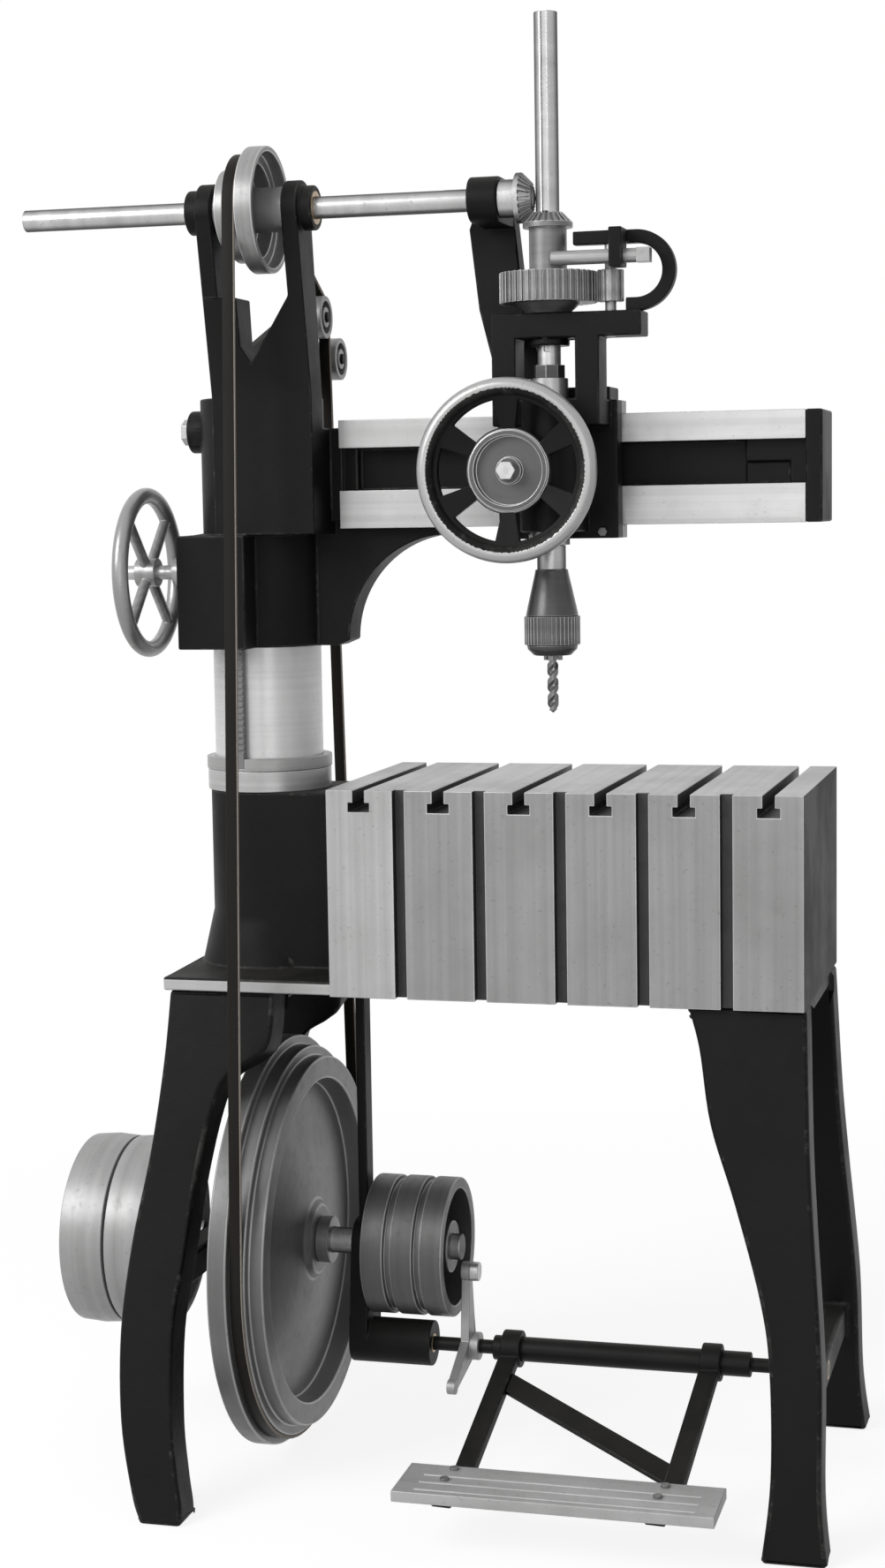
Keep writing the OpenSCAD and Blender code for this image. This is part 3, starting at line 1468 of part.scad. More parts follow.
module bevel_pinion() {
  x0 = boss_x1 + free_gap;
  x1 = spindle_x - bevel_r;
  color("#9a9b9c")
    along_x(x0, line_y, line_z)
      difference() {
        union() {
          cylinder(r = bevel_hub_r, h = x1 - x0);
          translate([0, 0, x1 - x0 - bevel_face / 2])
            cylinder(r = bevel_r - free_gap, h = bevel_face / 2, $fn = wheel_n);
          translate([0, 0, x1 - x0])
            bevel_blank(bevel_r - free_gap, bevel_face, side_teeth * 2, keyway_t);
        }
        translate([0, 0, -overrun])
          cylinder(r = cross_r + run_gap, h = x1 - x0 + overrun);
      }
}

module bevel_gear() {
  z1 = line_z - bevel_r;
  color("#9a9b9c")
    translate([spindle_x, line_y, disc_z1])
      difference() {
        union() {
          cylinder(r = bevel_hub_r, h = z1 - disc_z1, $fn = wheel_n);
          translate([0, 0, z1 - disc_z1 - bevel_face / 2])
            cylinder(r = bevel_r - free_gap, h = bevel_face / 2, $fn = wheel_n);
          translate([0, 0, z1 - disc_z1])
            bevel_blank(bevel_r - free_gap, bevel_face, side_teeth * 2, keyway_t);
        }
        translate([0, 0, -overrun])
          cylinder(r = spindle_r + run_gap, h = z1 - disc_z1 + bevel_face + overrun * 2,
            $fn = wheel_n);
      }
}

module disc_gear() {
  z0 = beam_z0 - way_lip;
  color("#8f9091")
    translate([spindle_x, line_y, 0])
      difference() {
        union() {
          translate([0, 0, disc_z0])
            toothed(disc_r, disc_t, disc_teeth, keyway_t);
          translate([0, 0, z0])
            cylinder(r = bevel_hub_r, h = disc_z0 - z0, $fn = wheel_n);
          translate([0, 0, beam_z1 + free_gap])
            cylinder(r1 = bevel_hub_r + cone_hub_len, r2 = bevel_r + way_lip,
              h = disc_z0 - beam_z1 - free_gap, $fn = wheel_n);
        }
        translate([0, 0, z0 - overrun])
          cylinder(r = spindle_r + run_gap, h = disc_z1 - z0 + overrun * 2, $fn = wheel_n);
      }
}

module side_pinion() {
  z1 = loop_z + loop_r1;
  color("#8f9091")
    translate([side_x, line_y, 0]) {
      translate([0, 0, disc_z0 - free_gap])
        toothed(side_r, disc_t + free_gap * 2, side_teeth, keyway_t);
      translate([0, 0, beam_z0])
        cylinder(r = side_stud_r, h = z1 - beam_z0);
    }
}

// Quill, spindle, chuck and drill

module quill() {
  n = floor(quill_len / quill_pitch) - 2;
  color("#b9bab8")
    translate([spindle_x, line_y, quill_z0])
      difference() {
        union() {
          cylinder(r = quill_r, h = quill_len, $fn = wheel_n);
          translate([rack_face - spindle_x, -quill_rack_w / 2, 0])
            cube([spindle_x - rack_face, quill_rack_w, quill_len]);
        }
        translate([0, 0, -overrun])
          cylinder(r = spindle_r + run_gap, h = quill_len + overrun * 2, $fn = wheel_n);
        for (i = [2 : n])
          translate([rack_face - spindle_x - overrun, -quill_rack_w, i * quill_pitch])
            cube([overrun + cone_hub_len / 2, quill_rack_w * 2, quill_pitch / 2]);
      }
}

module quill_nut() {
  color("#a7a8a8")
    translate([spindle_x, line_y, quill_z1])
      difference() {
        cylinder(r = quill_r - cone_hub_len, h = way_t, $fn = 8);
        translate([0, 0, -overrun])
          cylinder(r = spindle_r + run_gap, h = way_t + overrun * 2, $fn = wheel_n);
      }
}

spindle_seat_share = 0.27;
spindle_z0 = chuck_z1 - chuck_len * spindle_seat_share;

module spindle() {
  z1 = line_z + spindle_up;
  key_z = quill_z1 + way_t * 2;
  color("#c9cac9")
    translate([spindle_x, line_y, 0])
      difference() {
        union() {
          translate([0, 0, spindle_z0])
            cylinder(r = spindle_r, h = z1 - spindle_z0, $fn = wheel_n);
          translate([0, 0, chuck_z1])
            cylinder(r = spindle_r + cone_hub_len, h = quill_z0 - chuck_z1 - free_gap,
              $fn = wheel_n);
        }
        translate([-keyway_w / 2, -spindle_r - overrun, key_z])
          cube([keyway_w, keyway_t + overrun, z1 - key_z + overrun]);
      }
}

chuck_shares = [[0, 0.54], [0.38, 0.54], [0.38, 0], [0.66, 0], [0.88, 0.07], [0.92, 0.12], [0.84, 0.12],
  [0.84, 0.46], [0.94, 0.46], [0.88, 0.56], [0.62, 0.93], [0.58, 1]];
collar_shares = [0.125, 0.455];
jaw_shares = [-0.06, 0.42];

module chuck_body() {
  rb = spindle_r + run_gap;
  zs = chuck_len * (1 - spindle_seat_share) - free_gap;
  color("#8f9092")
    translate([spindle_x, line_y, chuck_z0])
      rotate_extrude($fn = wheel_n)
        polygon(concat([for (p = chuck_shares) [p[0] * chuck_r, p[1] * chuck_len]],
          [[rb, chuck_len], [rb, zs], [0, zs]]));
}

module chuck_collar() {
  z0 = chuck_len * collar_shares[0];
  z1 = chuck_len * collar_shares[1];
  color("#7f8082")
    translate([spindle_x, line_y, chuck_z0 + z0])
      difference() {
        toothed(chuck_r, z1 - z0, disc_teeth, cone_hub_len / 4);
        translate([0, 0, -overrun])
          cylinder(r = chuck_r * chuck_shares[6][0] + run_gap, h = z1 - z0 + overrun * 2,
            $fn = wheel_n);
      }
}

module chuck_jaws() {
  r1 = chuck_r * chuck_shares[1][0] - free_gap;
  color("#a5a6a8")
    for (i = [0 : 2])
      translate([spindle_x, line_y, chuck_z0 + chuck_len * jaw_shares[0]])
        rotate([0, 0, 30 + i * 120])
          translate([jaw_gap, -drill_r / 2, 0])
            cube([r1 - jaw_gap - free_gap, drill_r, chuck_len * (jaw_shares[1] - jaw_shares[0])]);
}

module twist_drill() {
  tip = drill_r * 2 / 3;
  color("#b3b4b6")
    translate([spindle_x, line_y, drill_z0]) {
      cylinder(r1 = 0, r2 = drill_r, h = tip);
      translate([0, 0, tip])
        cylinder(r = drill_r, h = drill_len - tip + chuck_len * half_share);
    }
}

// Hand feed

feed_front = wheel_y - feed_rim_r;
feed_hub_z = line_y - feed_wheel_front / 2 - free_gap - feed_front;

module feed_shaft() {
  z0 = feed_dish / 2;
  z1 = line_y + quill_rack_w * 3 / 2 - feed_front;
  p0 = line_y - quill_rack_w / 2 - feed_front;
  color("#b7b8b6")
    along_y(feed_x, feed_front, feed_z) {
      translate([0, 0, z0])
        cylinder(r = feed_shaft_r, h = z1 - z0);
      translate([0, 0, p0])
        toothed(feed_pinion_r, quill_rack_w, feed_pinion_teeth, cone_hub_len / 2);
    }
}

opening_shares = [0.47, 0.77];
opening_turn_share = 0.66;

module feed_wheel() {
  r = feed_wheel_r - feed_rim_r;
  t = cone_rim_t;
  hub = feed_shaft_r * 2;
  ri = feed_wheel_r * opening_shares[0] - t / 2;
  color("#a9aaa9")
    along_y(feed_x, feed_front, feed_z)
      difference() {
        union() {
          translate([0, 0, feed_rim_r])
            rotate_extrude($fn = wheel_n)
              translate([r, 0])
                circle(r = feed_rim_r);
          rotate_extrude($fn = wheel_n)
            polygon([[feed_shaft_r + run_gap, feed_dish], [hub, feed_dish], [hub, feed_dish + t],
              [ri - t, feed_dish + t], [ri - t, feed_dish - t / 2], [ri, feed_dish - t / 2],
              [ri, feed_dish], [r, feed_rim_r - t / 2],
              [r, feed_rim_r + t / 2], [ri, feed_dish + t * 2], [hub, feed_dish + t * 2],
              [hub, feed_hub_z], [feed_shaft_r + run_gap, feed_hub_z]]);
        }
        for (i = [0 : feed_openings - 1])
          rotate([0, 0, i * 360 / feed_openings])
            translate([0, 0, -overrun])
              linear_extrude(height = feed_dish * 4)
                polygon(concat(
                  arc_points([0, 0], feed_wheel_r * opening_shares[1],
                    -180 / feed_openings * opening_turn_share,
                    180 / feed_openings * opening_turn_share, arc_n / 6),
                  arc_points([0, 0], feed_wheel_r * opening_shares[0],
                    180 / feed_openings * opening_turn_share,
                    -180 / feed_openings * opening_turn_share, arc_n / 6)));
      }
}

module feed_nut() {
  color("#c9cac8")
    along_y(feed_x, feed_front, feed_z)
      difference() {
        translate([0, 0, feed_dish / 4])
          cylinder(r = feed_shaft_r * 3 / 2, h = feed_dish * 3 / 4, $fn = 6);
        translate([0, 0, feed_dish / 2 - run_gap])
          cylinder(r = feed_shaft_r + run_gap, h = feed_dish);
      }
}

left_legs();
right_legs();
column_base();
base_rim();
box_table();
stand_bolts();
column_post();
shaft_hanger();
shaft_bushes();
drive_shaft();
fast_pulley();
cone_wheel();
clutch_drum();
set_collars();
loose_pulley();
rocking_bar();
treadle_struts();
treadle_brace();
tread_plate();
clutch_lever();
lever_knob();
tread_bolts();
swing_ring();
elevating_rack();
arm_sleeve();
radial_arm();
upper_way();
lower_way();
sleeve_screws();
fork_bushes();
idler_bracket();
top_cone();
front_idler();
back_idler();
elevating_shaft();
elevating_pinion();
elevating_wheel();
drive_belt();
head_casting();
keeper_strips();
head_screws();
loop_bracket();
stop_rod();
cross_shaft();
bevel_pinion();
bevel_gear();
disc_gear();
side_pinion();
quill();
quill_nut();
spindle();
chuck_body();
chuck_collar();
chuck_jaws();
twist_drill();
feed_shaft();
feed_wheel();
feed_nut();
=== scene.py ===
"""Looks of the belt-driven radial arm drill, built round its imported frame."""
import json
import math

import bmesh
import bpy
from mathutils import Matrix, Vector


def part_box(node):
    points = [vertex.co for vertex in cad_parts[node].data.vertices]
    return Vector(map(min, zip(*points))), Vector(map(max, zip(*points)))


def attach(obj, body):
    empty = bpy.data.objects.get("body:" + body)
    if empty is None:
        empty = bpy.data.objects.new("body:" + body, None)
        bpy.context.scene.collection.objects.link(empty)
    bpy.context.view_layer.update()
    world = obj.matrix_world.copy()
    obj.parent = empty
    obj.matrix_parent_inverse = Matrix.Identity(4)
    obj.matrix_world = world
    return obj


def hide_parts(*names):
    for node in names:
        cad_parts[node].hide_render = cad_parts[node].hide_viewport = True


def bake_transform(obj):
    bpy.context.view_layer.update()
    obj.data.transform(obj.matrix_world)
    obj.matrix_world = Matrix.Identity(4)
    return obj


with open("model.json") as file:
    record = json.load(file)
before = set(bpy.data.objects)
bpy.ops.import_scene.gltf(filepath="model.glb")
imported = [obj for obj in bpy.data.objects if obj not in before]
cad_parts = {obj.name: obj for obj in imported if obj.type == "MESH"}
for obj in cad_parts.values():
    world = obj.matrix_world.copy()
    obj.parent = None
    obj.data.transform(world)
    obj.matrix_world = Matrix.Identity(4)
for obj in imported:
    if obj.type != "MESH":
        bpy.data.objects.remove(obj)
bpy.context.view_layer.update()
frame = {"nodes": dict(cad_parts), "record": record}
nodes = frame["nodes"]
record = frame["record"]
BODY = {n: body for body, members in record["behaviour"]["bodies"].items() for n in members}
SLOT = {row["node"]: row["material_slot"] for row in record["subparts"]}
MM = 0.001

# Camera of the photograph: place in metres, angles in degrees
CAMERA_PLACE = (0.672, -2.836, 1.102)
CAMERA_YAW = 14.89
CAMERA_PITCH = 6.05
CAMERA_ROLL = -0.92
IMAGE_HEIGHT = 1776
FOCAL_PIXELS = 2938
SENSOR = 36.0

# Turning lines of the machine: axis letter and a point on it, in metres
COLUMN_LINE = ("Z", (-0.288, 0.0, 0.0))
DRIVE_LINE = ("X", (0.0, 0.0, 0.252))
HEAD_LINE = ("X", (0.0, -0.110, 1.428))
FRONT_IDLER_LINE = ("X", (0.0, 0.140, 1.330))
BACK_IDLER_LINE = ("X", (0.0, 0.1973, 1.284))
ELEVATING_LINE = ("X", (0.0, -0.0855, 1.036))
SPINDLE_LINE = ("Z", (0.072, -0.110, 0.0))
SIDE_LINE = ("Z", (0.139, -0.110, 0.0))
FEED_LINE = ("Y", (0.039, 0.0, 1.141))
# Turn that lays each axis along Z
AXIS_TURN = {"X": (0.0, math.pi / 2, 0.0), "Y": (-math.pi / 2, 0.0, 0.0), "Z": (0.0, 0.0, 0.0)}

# Studio: places and lengths in metres, power in watts, levels of light from 0 to 1
KEY_LAMP = {"place": (-2.4, -3.0, 2.9), "target": (0.0, 0.0, 0.8), "power": 120, "size": 2.2}
FILL_LAMP = {"place": (0.6, -3.6, 1.0), "target": (0.0, 0.0, 0.7), "power": 22, "size": 2.5}
WORLD_LIGHT = 0.34
FLOOR_SIZE = 16.0
FLOOR_DROP = 0.0005
FLOOR_NEAR, FLOOR_FAR = 0.75, 2.0
FLOOR_LIFT = 0.86
FLOOR_DARK, FLOOR_PALE = 0.20, 0.22


# Camera and lamps

def add_camera():
    """The camera fitted to the photograph."""
    yaw, pitch, roll = (math.radians(a) for a in (CAMERA_YAW, CAMERA_PITCH, CAMERA_ROLL))
    ahead = Vector((-math.sin(yaw) * math.cos(pitch), math.cos(yaw) * math.cos(pitch), -math.sin(pitch)))
    level = Vector((math.cos(yaw), math.sin(yaw), 0.0))
    over = level.cross(ahead)
    right = level * math.cos(roll) + over * math.sin(roll)
    up = over * math.cos(roll) - level * math.sin(roll)
    turn = Matrix((right, up, -ahead)).transposed().to_4x4()
    data = bpy.data.cameras.new("camera")
    data.sensor_width = SENSOR
    data.lens = FOCAL_PIXELS / IMAGE_HEIGHT * SENSOR
    camera = bpy.data.objects.new("camera", data)
    camera.matrix_world = Matrix.Translation(CAMERA_PLACE) @ turn
    bpy.context.scene.collection.objects.link(camera)
    bpy.context.scene.camera = camera


def add_lamp(name, place, target, power, size):
    """A square lamp that looks at its target."""
    data = bpy.data.lights.new(name, "AREA")
    data.energy = power
    data.size = size
    lamp = bpy.data.objects.new(name, data)
    lamp.location = place
    lamp.rotation_euler = (Vector(target) - Vector(place)).to_track_quat("-Z", "Y").to_euler()
    bpy.context.scene.collection.objects.link(lamp)


# Node trees

class Board:
    """A node tree being laid out."""

    def __init__(self, tree):
        self.tree = tree

    def add(self, kind, **settings):
        node = self.tree.nodes.new("ShaderNode" + kind)
        for key, value in settings.items():
            setattr(node, key, value)
        return node

    def put(self, value, socket):
        if isinstance(value, bpy.types.NodeSocket):
            self.tree.links.new(value, socket)
        else:
            socket.default_value = value

    def math(self, operation, a, b=0.0):
        node = self.add("Math", operation=operation)
        self.put(a, node.inputs[0])
        self.put(b, node.inputs[1])
        return node.outputs[0]

    def noise(self, vector, scale, detail=2.0, roughness=0.5):
        node = self.add("TexNoise")
        self.put(vector, node.inputs["Vector"])
        self.put(scale, node.inputs["Scale"])
        node.inputs["Detail"].default_value = detail
        node.inputs["Roughness"].default_value = roughness
        return node.outputs["Fac"]

    def strip_noise(self, along, detail):
        node = self.add("TexNoise", noise_dimensions="1D")
        self.put(along, node.inputs["W"])
        node.inputs["Scale"].default_value = 1.0
        node.inputs["Detail"].default_value = detail
        return node.outputs["Fac"]

    def spread(self, value, low, high, to_low=0.0, to_high=1.0):
        node = self.add("MapRange")
        for socket, item in zip(("Value", "From Min", "From Max", "To Min", "To Max"),
                                (value, low, high, to_low, to_high)):
            self.put(item, node.inputs[socket])
        return node.outputs["Result"]

    def mix(self, share, first, second):
        node = self.add("Mix", data_type="RGBA")
        self.put(share, node.inputs[0])
        self.put(first, node.inputs[6])
        self.put(second, node.inputs[7])
        return node.outputs[2]

    def group(self, tree, **values):
        node = self.add("Group", node_tree=tree)
        for key, value in values.items():
            self.put(value, node.inputs[key])
        return node.outputs


def grey(level, warm=0.0):
    """A grey of one level; warm moves it towards brown."""
    return (level * (1 + warm), level, level * (1 - warm), 1.0)


def new_group(name, inputs, outputs):
    """An empty node group: its board, what it is given and what it gives."""
    tree = bpy.data.node_groups.new(name, "ShaderNodeTree")
    for label, kind, value in inputs:
        socket = tree.interface.new_socket(label, in_out="INPUT", socket_type="NodeSocket" + kind)
        if value is not None:
            socket.default_value = value
    for label in outputs:
        tree.interface.new_socket(label, in_out="OUTPUT", socket_type="NodeSocketFloat")
    return Board(tree), tree.nodes.new("NodeGroupInput").outputs, tree.nodes.new("NodeGroupOutput").inputs


# Groups shared by the finishes

HOLLOW_SHARE, GRAIN_SHARE = 1.6, 0.5
SLOW_RINGS = 0.11


def make_cast_skin():
    """Sand-cast skin under paint: fine grain over slow hollows, and a mottle for colour."""
    board, given, out = new_group("cast_skin", [("Vector", "Vector", None), ("Grain", "Float", 1.0)],
                                  ["Height", "Mottle"])
    slow = board.noise(given["Vector"], scale=34.0, detail=3.0)
    fine = board.noise(given["Vector"], scale=380.0, detail=3.0, roughness=0.6)
    fine = board.math("MULTIPLY", fine, given["Grain"])
    board.put(board.math("ADD", board.math("MULTIPLY", slow, HOLLOW_SHARE),
                         board.math("MULTIPLY", fine, GRAIN_SHARE)), out["Height"])
    board.put(board.noise(given["Vector"], scale=11.0, detail=5.0, roughness=0.62), out["Mottle"])
    return board.tree


def make_turned_rings():
    """Tool marks that run round an axis laid along Z, on the sides and on the end faces."""
    board, given, out = new_group("turned_rings", [("Vector", "Vector", None), ("Lines", "Float", 900.0)],
                                  ["Height", "Tone"])
    parts = board.add("SeparateXYZ")
    board.put(given["Vector"], parts.inputs[0])
    across = board.math("SQRT", board.math("ADD", board.math("POWER", parts.outputs[0], 2.0),
                                           board.math("POWER", parts.outputs[1], 2.0)))
    along = board.math("MULTIPLY", board.math("ADD", parts.outputs[2], across), given["Lines"])
    board.put(board.strip_noise(along, detail=3.0), out["Height"])
    board.put(board.strip_noise(board.math("MULTIPLY", along, SLOW_RINGS), detail=3.0), out["Tone"])
    return board.tree


def make_planed_lines():
    """Long tool marks; the vector comes already stretched along the stroke."""
    board, given, out = new_group("planed_lines", [("Vector", "Vector", None)], ["Height", "Tone"])
    board.put(board.noise(given["Vector"], scale=1.0, detail=3.0, roughness=0.6), out["Height"])
    board.put(board.noise(given["Vector"], scale=0.13, detail=3.0), out["Tone"])
    return board.tree


def make_shop_wear():
    """Oil smudges, dark specks and fine handling scratches."""
    board, given, out = new_group("shop_wear", [("Vector", "Vector", None)], ["Smudge", "Specks", "Scuffs"])
    cloud = board.noise(given["Vector"], scale=6.5, detail=6.0, roughness=0.62)
    dots = board.noise(given["Vector"], scale=210.0)
    scratches = board.noise(given["Vector"], scale=70.0, detail=6.0, roughness=0.75)
    board.put(board.spread(cloud, low=0.44, high=0.68), out["Smudge"])
    board.put(board.spread(dots, low=0.66, high=0.74), out["Specks"])
    board.put(board.spread(scratches, low=0.52, high=0.70), out["Scuffs"])
    return board.tree


CAST_SKIN = make_cast_skin()
TURNED_RINGS = make_turned_rings()
PLANED_LINES = make_planed_lines()
SHOP_WEAR = make_shop_wear()


# Materials

UP_FROM, UP_TO = 0.35, 0.95
DULL_GLINT = 0.12
USUAL_GLINT = 0.5
DUST = grey(0.045, 0.06)
DUST_LEAST, DUST_MOST = 0.1, 0.5
DUST_ROUGH = 0.3
BARE_IRON = grey(0.11, 0.03)
BARE_SHINE = 0.5
JAPAN_DARK, JAPAN_PALE = 0.7, 1.6
JAPAN_ROUGHER = 0.16
BAND_DARK, BAND_PALE = 0.16, 0.14
# The last of these is the tone of the painted shade where a shaft turns away from the eye
OIL_DARK, SPECK_DARK, AWAY_PAINTED_SHADE = 0.52, 0.34, 0.06
AWAY_FROM, AWAY_TO = 0.20, 0.62
AWAY_GLINT = 0.02
SCUFF_SMOOTHER, SCUFF_ROUGHER = 0.05, 0.10
OIL_ROUGH = 0.08
LEATHER_WARM = 0.12
LEATHER_GRAIN = 1.6


def new_material(name):
    """A material with one shader on its board."""
    material = bpy.data.materials.new(name)
    material.use_nodes = True
    tree = material.node_tree
    tree.nodes.clear()
    board = Board(tree)
    shader = board.add("BsdfPrincipled")
    board.put(shader.outputs[0], board.add("OutputMaterial").inputs[0])
    return material, board, shader


def place_vector(board, line=None, stretch=None):
    """Object coordinates, laid along a turning line or stretched along a planing stroke."""
    vector = board.add("TexCoord").outputs["Object"]
    if line:
        node = board.add("Mapping", vector_type="TEXTURE")
        node.inputs["Location"].default_value = line[1]
        node.inputs["Rotation"].default_value = AXIS_TURN[line[0]]
    elif stretch:
        node = board.add("Mapping")
        node.inputs["Scale"].default_value = stretch
    else:
        return vector
    board.put(vector, node.inputs["Vector"])
    return node.outputs[0]


def add_bump(board, shader, height, strength, distance):
    bump = board.add("Bump")
    bump.inputs["Strength"].default_value = strength
    bump.inputs["Distance"].default_value = distance
    board.put(height, bump.inputs["Height"])
    board.put(bump.outputs[0], shader.inputs["Normal"])


def up_facing(board):
    """Share of a face that looks upwards, where dust lies."""
    parts = board.add("SeparateXYZ")
    board.put(board.add("NewGeometry").outputs["Normal"], parts.inputs[0])
    return board.spread(parts.outputs[2], UP_FROM, UP_TO)


def make_japan(name, tone=0.006, rub=0.0, gloss=0.46):
    """Black baked japan on castings; rub lets the iron show through it, gloss is its least roughness."""
    material, board, shader = new_material(name)
    vector = place_vector(board)
    skin = board.group(CAST_SKIN, Vector=vector)
    wear = board.group(SHOP_WEAR, Vector=vector)
    colour = board.mix(skin["Mottle"], grey(tone * JAPAN_DARK), grey(tone * JAPAN_PALE, warm=0.02))
    patches = board.spread(skin["Mottle"], low=0.3, high=0.7, to_low=DUST_LEAST, to_high=DUST_MOST)
    dust = board.math("MULTIPLY", up_facing(board), patches)
    colour = board.mix(dust, colour, DUST)
    if rub:
        worn = board.math("ADD", wear["Scuffs"], wear["Smudge"])
        bare = board.spread(worn, low=0.25, high=1.1, to_high=rub)
        colour = board.mix(bare, colour, BARE_IRON)
        board.put(board.math("MULTIPLY", bare, BARE_SHINE), shader.inputs["Metallic"])
    board.put(colour, shader.inputs["Base Color"])
    shader.inputs["Specular IOR Level"].default_value = DULL_GLINT
    rough = board.spread(wear["Smudge"], 0.0, 1.0, to_low=gloss, to_high=gloss + JAPAN_ROUGHER)
    dull = board.math("MULTIPLY", dust, DUST_ROUGH)
    board.put(board.math("ADD", rough, dull), shader.inputs["Roughness"])
    add_bump(board, shader, skin["Height"], strength=0.35, distance=0.0009)
    return material


def make_metal(name, tone, shine, rough, line=None, stretch=None, lines=900.0, warm=0.0, dirt=0.35,
               depth=0.00012, bands=1.0, painted_turn_shade=0.0):
    """Metal with tool marks round a turning line, along a planing stroke, or with a plain cast skin.

    tone is its grey, shine how metallic it is and rough its roughness. lines is the number of marks
    in a metre and depth their height in metres. bands is the strength of the slow tone changes, dirt
    that of the oil and specks; the last argument paints shade onto the sides that turn away from the eye.
    """
    material, board, shader = new_material(name)
    vector = place_vector(board)
    wear = board.group(SHOP_WEAR, Vector=vector)
    if line:
        marks = board.group(TURNED_RINGS, Vector=place_vector(board, line=line), Lines=lines)
        tint, height = marks["Tone"], marks["Height"]
    elif stretch:
        marks = board.group(PLANED_LINES, Vector=place_vector(board, stretch=stretch))
        tint, height = marks["Tone"], marks["Height"]
    else:
        marks = board.group(CAST_SKIN, Vector=vector)
        tint, height = marks["Mottle"], marks["Height"]
    dark = grey(tone * (1 - BAND_DARK * bands), warm)
    pale = grey(tone * (1 + BAND_PALE * bands), warm)
    oil = board.math("MULTIPLY", wear["Smudge"], dirt)
    specks = board.math("MULTIPLY", wear["Specks"], dirt)
    colour = board.mix(board.spread(tint, low=0.25, high=0.75), dark, pale)
    colour = board.mix(oil, colour, grey(tone * OIL_DARK, warm + 0.03))
    colour = board.mix(specks, colour, grey(tone * SPECK_DARK, warm=0.05))
    shader.inputs["Metallic"].default_value = shine
    # Painted shade: the sides that turn away from the eye are darkened and lose their metal and glint
    if painted_turn_shade:
        facing = board.add("LayerWeight").outputs["Facing"]
        away = board.spread(facing, AWAY_FROM, AWAY_TO, to_high=painted_turn_shade)
        colour = board.mix(away, colour, grey(tone * AWAY_PAINTED_SHADE))
        board.put(board.spread(away, 0.0, 1.0, to_low=shine, to_high=0.0), shader.inputs["Metallic"])
        glint = board.spread(away, 0.0, 1.0, to_low=USUAL_GLINT, to_high=AWAY_GLINT)
        board.put(glint, shader.inputs["Specular IOR Level"])
    board.put(colour, shader.inputs["Base Color"])
    scuffed = board.spread(wear["Scuffs"], 0.0, 1.0, to_low=rough - SCUFF_SMOOTHER,
                           to_high=rough + SCUFF_ROUGHER)
    board.put(board.math("ADD", scuffed, board.math("MULTIPLY", wear["Smudge"], OIL_ROUGH)),
              shader.inputs["Roughness"])
    add_bump(board, shader, height, strength=0.45, distance=depth)
    return material


def make_leather(name, dark, pale):
    """Oiled belt leather, mottled between two tones."""
    material, board, shader = new_material(name)
    skin = board.group(CAST_SKIN, Vector=place_vector(board), Grain=LEATHER_GRAIN)
    colour = board.mix(skin["Mottle"], grey(dark, LEATHER_WARM), grey(pale, LEATHER_WARM))
    board.put(colour, shader.inputs["Base Color"])
    shader.inputs["Specular IOR Level"].default_value = DULL_GLINT
    rough = board.spread(skin["Mottle"], low=0.2, high=0.8, to_low=0.42, to_high=0.68)
    board.put(rough, shader.inputs["Roughness"])
    add_bump(board, shader, skin["Height"], strength=0.5, distance=0.0004)
    return material


# Floor and studio

def seen_ray(board):
    """1 for rays from the camera, straight or over gloss and glass, else 0."""
    rays = board.add("LightPath").outputs
    turned = board.math("MAXIMUM", rays["Is Glossy Ray"], rays["Is Transmission Ray"])
    return board.math("MAXIMUM", rays["Is Camera Ray"], turned)


def make_floor():
    """Pale paper that takes a soft shadow near the machine and runs out into white."""
    material, board, shader = new_material("studio_floor")
    board.tree.nodes.remove(shader)
    paper = board.add("BsdfDiffuse")
    place = place_vector(board)
    reach = board.add("VectorMath", operation="LENGTH")
    board.put(place, reach.inputs[0])
    far = board.spread(reach.outputs["Value"], FLOOR_NEAR, FLOOR_FAR)
    colour = board.mix(board.noise(place, scale=0.8, detail=3.0), grey(FLOOR_DARK), grey(FLOOR_PALE))
    board.put(board.mix(far, colour, grey(0.0)), paper.inputs["Color"])
    glow = board.add("Emission")
    glow.inputs["Color"].default_value = grey(1.0)
    lift = board.spread(far, 0.0, 1.0, to_low=FLOOR_LIFT)
    board.put(board.math("MULTIPLY", seen_ray(board), lift), glow.inputs["Strength"])
    both = board.add("AddShader")
    board.put(paper.outputs[0], both.inputs[0])
    board.put(glow.outputs[0], both.inputs[1])
    out = [n for n in board.tree.nodes if n.type == "OUTPUT_MATERIAL"][0]
    board.put(both.outputs[0], out.inputs[0])
    return material


def add_studio():
    """White surroundings that light less than they show, two lamps and the floor."""
    world = bpy.data.worlds.new("studio")
    bpy.context.scene.world = world
    world.use_nodes = True
    board = Board(world.node_tree)
    back = world.node_tree.nodes["Background"]
    back.inputs["Color"].default_value = grey(1.0)
    board.put(board.spread(seen_ray(board), 0.0, 1.0, to_low=WORLD_LIGHT), back.inputs["Strength"])
    bpy.context.scene.view_settings.view_transform = "Standard"
    add_lamp("key", **KEY_LAMP)
    add_lamp("fill", **FILL_LAMP)
    bpy.ops.object.select_all(action="DESELECT")
    bpy.ops.mesh.primitive_plane_add(size=FLOOR_SIZE, location=(0, 0, -FLOOR_DROP))
    floor = bpy.context.object
    floor.name = "floor"
    floor.data.materials.append(make_floor())


# Modelling helpers

SMOOTH_BELOW = math.radians(36.0)
SHARP_FROM = math.radians(33.0)
ROUND_STEPS = 3
WELD = 0.00001


def only(piece):
    """Makes this piece the one that is chosen and active."""
    if bpy.context.object and bpy.context.object.mode != "OBJECT":
        bpy.ops.object.mode_set(mode="OBJECT")
    bpy.ops.object.select_all(action="DESELECT")
    piece.select_set(True)
    bpy.context.view_layer.objects.active = piece


